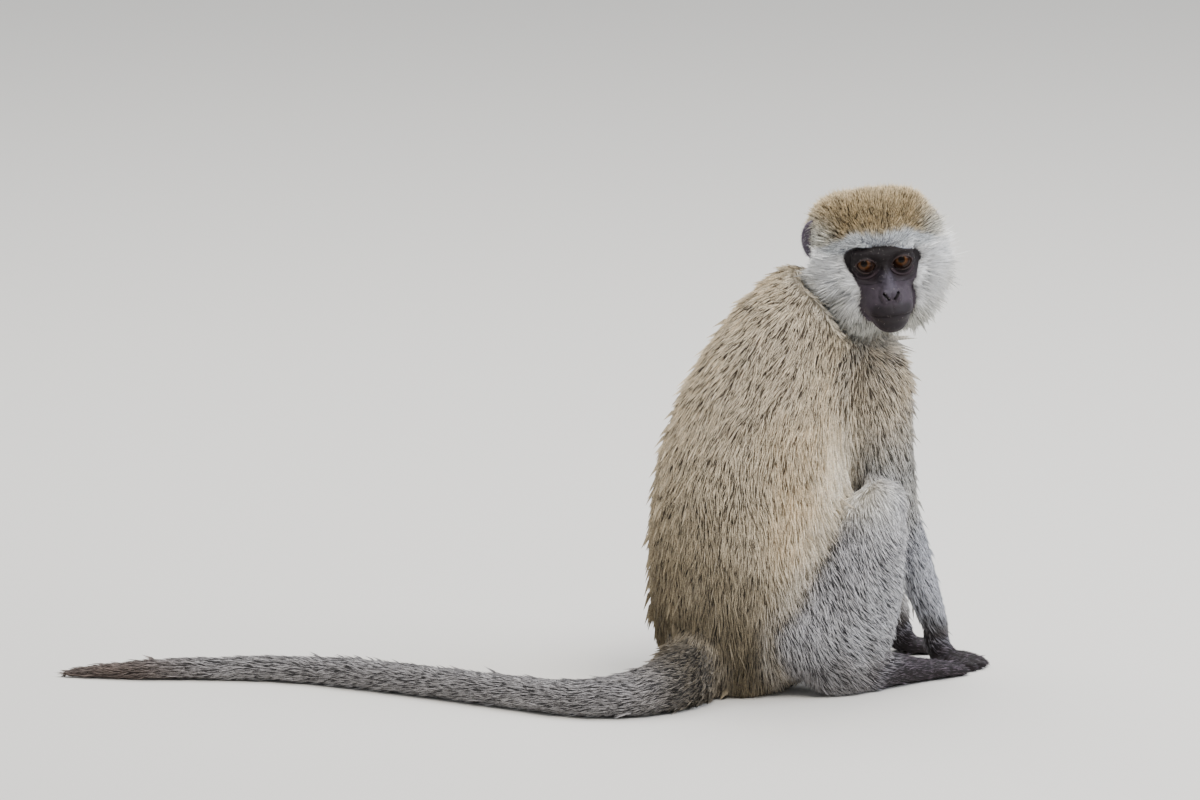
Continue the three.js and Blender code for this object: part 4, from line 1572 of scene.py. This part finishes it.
        # neighbours lean their tips together in locks a few millimetres across
        lock = self.locks(root, self.lock_size)
        size = np.bincount(lock)
        centre = np.column_stack([np.bincount(lock, weights=tip[:, i]) / size for i in range(3)])[lock]
        pull = (centre - tip) * (0.04 - 0.03 * erect)[:, None]
        tip = tip + pull
        mid = mid + pull * 0.3
        half = numbers[:, Trait.WIDTH] * MM / 2 * rng.uniform(0.75, 1.25, count) * np.where(stray, 0.65, 1.0)
        mid += unit(np.cross(tip - foot, side)) * -(0.12 * MM)
        vertices = np.stack([foot, mid + side * half[:, None], mid - side * half[:, None], tip], axis=1)
        vertices[..., 2] = np.maximum(vertices[..., 2], HAIR_FLOOR)
        return vertices

    def tint(
        self, pale: Array, band: Array, root: Array, dark: Array, light: Array, rng: np.random.Generator
    ) -> Array:
        """Colours each tuft: dark or light guard hair, banded from root to tip.

        Args:
            pale: Which hairs are light ones.
            band: How strongly a light hair darkens below its tip.
            root: The colours at the roots.
            dark: The colours of dark hairs.
            light: The colours of light hairs.
            rng: The source of chance.

        Returns:
            A colour for each of the four vertices, (n, 4, 3).
        """
        count = len(pale)
        chosen = pale.astype(float)[:, None]
        mix = np.clip(chosen * 0.94 + rng.normal(0, 0.08, (count, 1)), 0, 1)
        body = dark * (1 - mix) + light * mix
        bright = rng.uniform(0.8, 1.2, (count, 1))
        below = 0.10 + 0.48 * band[:, None] * rng.uniform(0.3, 1.3, (count, 1))
        middle = (body * (1 - below) + dark * below) * bright
        tip = body * (0.86 + 0.18 * chosen) * bright
        base = root * 0.6 + middle * 0.25
        return np.stack([base, middle, middle, tip], axis=1)

    def piece(self, name: str, vertices: Array, tints: Array, root_uv: Array) -> Object:
        """Joins some tufts into one piece with its colours and its bake map.

        Args:
            name: The piece's name.
            vertices: Four for each tuft, (n, 4, 3).
            tints: Their colours, with the strength of the fleck as alpha, (n, 4, 4).
            root_uv: Where each root is on the skin's unwrap, (n, 2).

        Returns:
            The piece.
        """
        count = len(vertices)
        faces = (np.array(self.FACES)[None] + 4 * np.arange(count)[:, None, None]).reshape(-1, 3)
        mesh = mesh_from(name, vertices.reshape(-1, 3), faces, smooth=False)
        paint(mesh, "Hair", tints.reshape(-1, 4))
        patch = np.array([(0, 0.5), (0.42, 1), (0.42, 0), (1, 0.5)]) * self.PATCH
        own = (root_uv[:, None, :] + patch[None] - self.PATCH / 2).reshape(-1, 2)
        layer = mesh.uv_layers.new(name=BAKE_MAP)
        layer.data.foreach_set("uv", own[faces.ravel()].astype(np.float32).ravel())
        made = new_object(name, mesh)
        wear(made, self.finish, self.slot_of(name))
        log.info("%s: %d tufts, %d faces", name, count, len(faces))
        return made


# ---- Eyes and nails ----


@dataclass
class Eye:
    """An eyeball with its bulging cornea; the iris and pupil lie about the way it looks. Millimetres."""

    head: Head
    side: str
    finish: Material
    looks: tuple[float, float, float] = (0.945, -0.15, 0.27)
    cornea: float = 6.1
    bulge: float = 0.9

    def make(self) -> Object:
        """Makes the eye in place of its solid.

        Returns:
            The eye, in the model's frame.
        """
        eye = primitive("uv_sphere", f"eyeball_{self.side}", segments=64, ring_count=96, radius=1.0)
        ball = unit(places(eye.data))
        gaze = unit(np.array(self.looks))
        across = unit(np.cross((0, 0, 1), gaze))
        up = np.cross(gaze, across)
        radius = self.head.eye_radius
        ahead = ball[:, 2]
        out = np.sqrt(np.maximum(1 - ahead**2, 0)) * radius
        dome = self.bulge * smoothstep(self.cornea, 0, out) * (ahead > 0)
        shaped = (ball[:, :1] * across + ball[:, 1:2] * up + ball[:, 2:] * gaze) * (radius + dome)[:, None]
        at = np.array(self.head.eye) * (1, SIDES[self.side], 1)
        set_places(eye.data, self.head.to_world(shaped + at))
        way = np.arctan2(ball[:, 1], ball[:, 0])
        far = np.where(ahead > 0, out / 10, 0.95)
        paint(eye.data, "Iris", np.column_stack([far, 0.5 + 0.5 * np.cos(way), 0.5 + 0.5 * np.sin(way)]))
        bpy.ops.object.shade_smooth()
        wear(eye, self.finish, "eye")
        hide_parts(f"eye_{self.side}")
        return eye


@dataclass
class Nails:
    """The nails of one hand or foot: small arched plates on the ends of the digits. Millimetres."""

    name: str
    tips: list[tuple[Array, float]]
    finish: Material
    length: float = 5.2
    width: float = 4.4
    thick: float = 0.7
    arch: float = 1.35
    droop: float = 1.1
    tilt: float = 24.0
    edge: float = 0.12

    def plate(self, at: Array, heading: float) -> Object:
        """Makes one nail: a plate arched over the digit and narrowed to its tip."""
        nail = primitive("grid", "nail", x_subdivisions=8, y_subdivisions=8, size=1.0)
        p = places(nail.data)
        x, y = p[:, 0] + 0.5, p[:, 1] * 2
        wide = self.width / 2 * (1 - 0.35 * x * x)
        shaped = np.column_stack([x * self.length, y * wide, -self.arch * y * y - self.droop * x * x])
        shaped = shaped @ turned(math.degrees(heading), self.tilt, 0).T
        set_places(nail.data, (shaped + at) * MM)
        modify(nail, "SOLIDIFY", thickness=self.thick * MM, offset=-1.0)
        modify(nail, "BEVEL", width=self.edge * MM, segments=1)
        return nail

    def make(self) -> Object:
        """Makes all nails of the hand or foot as one piece."""
        made = joined([self.plate(at, heading) for at, heading in self.tips], self.name)
        bpy.ops.object.shade_smooth()
        wear(made, self.finish, "dark_paw")
        return made


@dataclass(frozen=True)
class Paw:
    """Where the digits of a hand or foot are, from the same sizes as its solid. Millimetres and radians.

    The digits start at reach from the root, gap apart, each turned from the next by fan. thumb is how far
    along and out the thumb or great toe starts, its angle and its length.
    """

    root: tuple[float, float]
    heading: float
    reach: float
    digits: tuple[float, ...]
    gap: float
    fan: float
    radius: float
    thumb: tuple[float, float, float, float]

    def digits_on(self, side: str) -> list[tuple[Array, float, float]]:
        """Each digit on the floor plan, the thumb or great toe last.

        Args:
            side: "right" or "left".

        Returns:
            Where each starts, its heading and its length.
        """
        inward = -SIDES[side]
        way = np.array([math.cos(self.heading), math.sin(self.heading)])
        across = np.array([-way[1], way[0]])
        start = np.array(self.root)
        found = []
        for k, length in enumerate(self.digits):
            place = k - (len(self.digits) - 1) / 2
            turn = self.heading - inward * place * self.fan
            base = start + way * self.reach - across * inward * place * self.gap
            found.append((base, turn, length))
        back, out, angle, length = self.thumb
        base = start + way * back + across * inward * out
        found.append((base, self.heading + inward * angle, length))
        return found

    def tips(self, side: str) -> list[tuple[Array, float]]:
        """Where the nails start, with their headings."""
        ends = []
        for base, turn, length in self.digits_on(side):
            ahead = np.array([math.cos(turn), math.sin(turn)])
            end = base + ahead * (length - 1.2)
            ends.append((np.array([*end, self.radius * 1.55]), turn))
        return ends


def paws_of(side: str) -> tuple[Paw, Paw]:
    """The foot and the hand of one side."""
    sign = SIDES[side]
    inward = math.radians(11) * -sign
    great_toe, thumb = (45, 10, math.radians(34), 30), (2, 9, math.radians(38), 21)
    foot = Paw((58, 75 * sign), inward, 70, (33, 36, 35, 30), 8.2, math.radians(4), 5.2, great_toe)
    at, turn = {"right": ((163, -27), -48), "left": ((166, 30), 12)}[side]
    hand = Paw(at, math.radians(turn), 10, (24, 28.5, 28, 24), 7.6, math.radians(6), 4.8, thumb)
    return foot, hand


def all_paws() -> list[tuple[Paw, str]]:
    """Every foot and hand with its side."""
    return [(paw, side) for side in SIDES for paw in paws_of(side)]


# ---- The model ----


@dataclass
class Studio:
    """A plain pale floor, soft lights and a long lens far off to the animal's right and behind."""

    azimuth: float = -35.0
    elevation: float = 11.0
    distance: float = 24.0
    frame_width: float = 0.96
    aim_right: float = -0.120
    aim_up: float = 0.2272
    sensor: float = 36.0
    room_light: float = 0.62

    def make(self) -> None:
        """Builds the floor, the lights and the camera."""
        floor = primitive("plane", "studio_floor", size=30.0)
        paper = Shading("pale_paper", {"Base Color": (*linear("dedbd5"), 1), "Roughness": 0.9})
        floor.data.materials.append(paper.material)
        a, e = math.radians(self.azimuth), math.radians(self.elevation)
        right = Vector((math.cos(a), math.sin(a), 0))
        back = Vector((math.sin(a) * math.cos(e), -math.cos(a) * math.cos(e), math.sin(e)))
        up = back.cross(right)
        aim = right * self.aim_right + up * self.aim_up
        data = bpy.data.cameras.new("long_lens")
        camera = new_object("long_lens", data)
        camera.location = aim + back * self.distance
        camera.rotation_euler = back.to_track_quat("Z", "Y").to_euler()
        data.sensor_width = self.sensor
        data.lens = self.sensor * self.distance / self.frame_width
        bpy.context.scene.camera = camera
        self.lamp("sky_front", aim + back * 1.9 + right * 0.9 + up * 2.5, 1.2, 76.0, "fffaf2", aim)
        self.lamp("sky_side", aim + back * 0.5 + right * 2.4 + up * 1.6, 2.0, 72.0, "eef3ff", aim)
        self.lamp("sky_top", aim + up * 2.6 - back * 0.6, 2.4, 94.0, "ffffff", aim)
        world = bpy.data.worlds.new("soft_room")
        world.use_nodes = True
        glow = world.node_tree.nodes["Background"]
        glow.inputs["Color"].default_value = (*linear("e9edf2"), 1)
        glow.inputs["Strength"].default_value = self.room_light
        bpy.context.scene.world = world

    @staticmethod
    def lamp(name: str, at: Vector, size: float, power: float, tint: str, aim: Vector) -> None:
        """Adds one large soft lamp that faces the animal."""
        data = bpy.data.lights.new(name, "AREA")
        data.size, data.energy, data.color = size, power, linear(tint)
        lamp = new_object(name, data)
        lamp.location = at
        lamp.rotation_euler = (at - aim).to_track_quat("Z", "Y").to_euler()


def unwrap(piece: Object) -> None:
    """Gives the skin its own unwrap, on which the tufts find their places too."""
    only(piece)
    piece.data.uv_layers.new(name=BAKE_MAP)
    bpy.ops.object.mode_set(mode="EDIT")
    bpy.ops.mesh.select_all(action="SELECT")
    bpy.ops.uv.smart_project(angle_limit=math.radians(72), island_margin=0.001, area_weight=0.2)
    bpy.ops.object.mode_set(mode="OBJECT")


def main() -> None:
    """Builds the studio, the skin, the eyes, the coat and the nails."""
    logging.basicConfig(level=logging.INFO, format="%(name)s: %(message)s")
    Studio().make()
    head = Head()
    skin = Skin(head)
    skin.make()
    marks = Markings(skin)
    marks.make()
    unwrap(skin.piece)
    wear(skin.piece, HideFinish().make(), "body_fur")
    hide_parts(*skin.body_nodes(), *HEAD_NODES)
    wet = EyeFinish().make()
    for side in SIDES:
        Eye(head, side, wet).make()
    fur = Fur(skin, marks, finish=FurFinish().make())
    fur.make()
    horn = NailFinish().make()
    for side in SIDES:
        foot, hand = paws_of(side)
        Nails(f"toenails_{side}", foot.tips(side), horn).make()
        Nails(f"fingernails_{side}", hand.tips(side), horn, length=4.6, width=3.8).make()


if __name__ == "__main__":
    main()
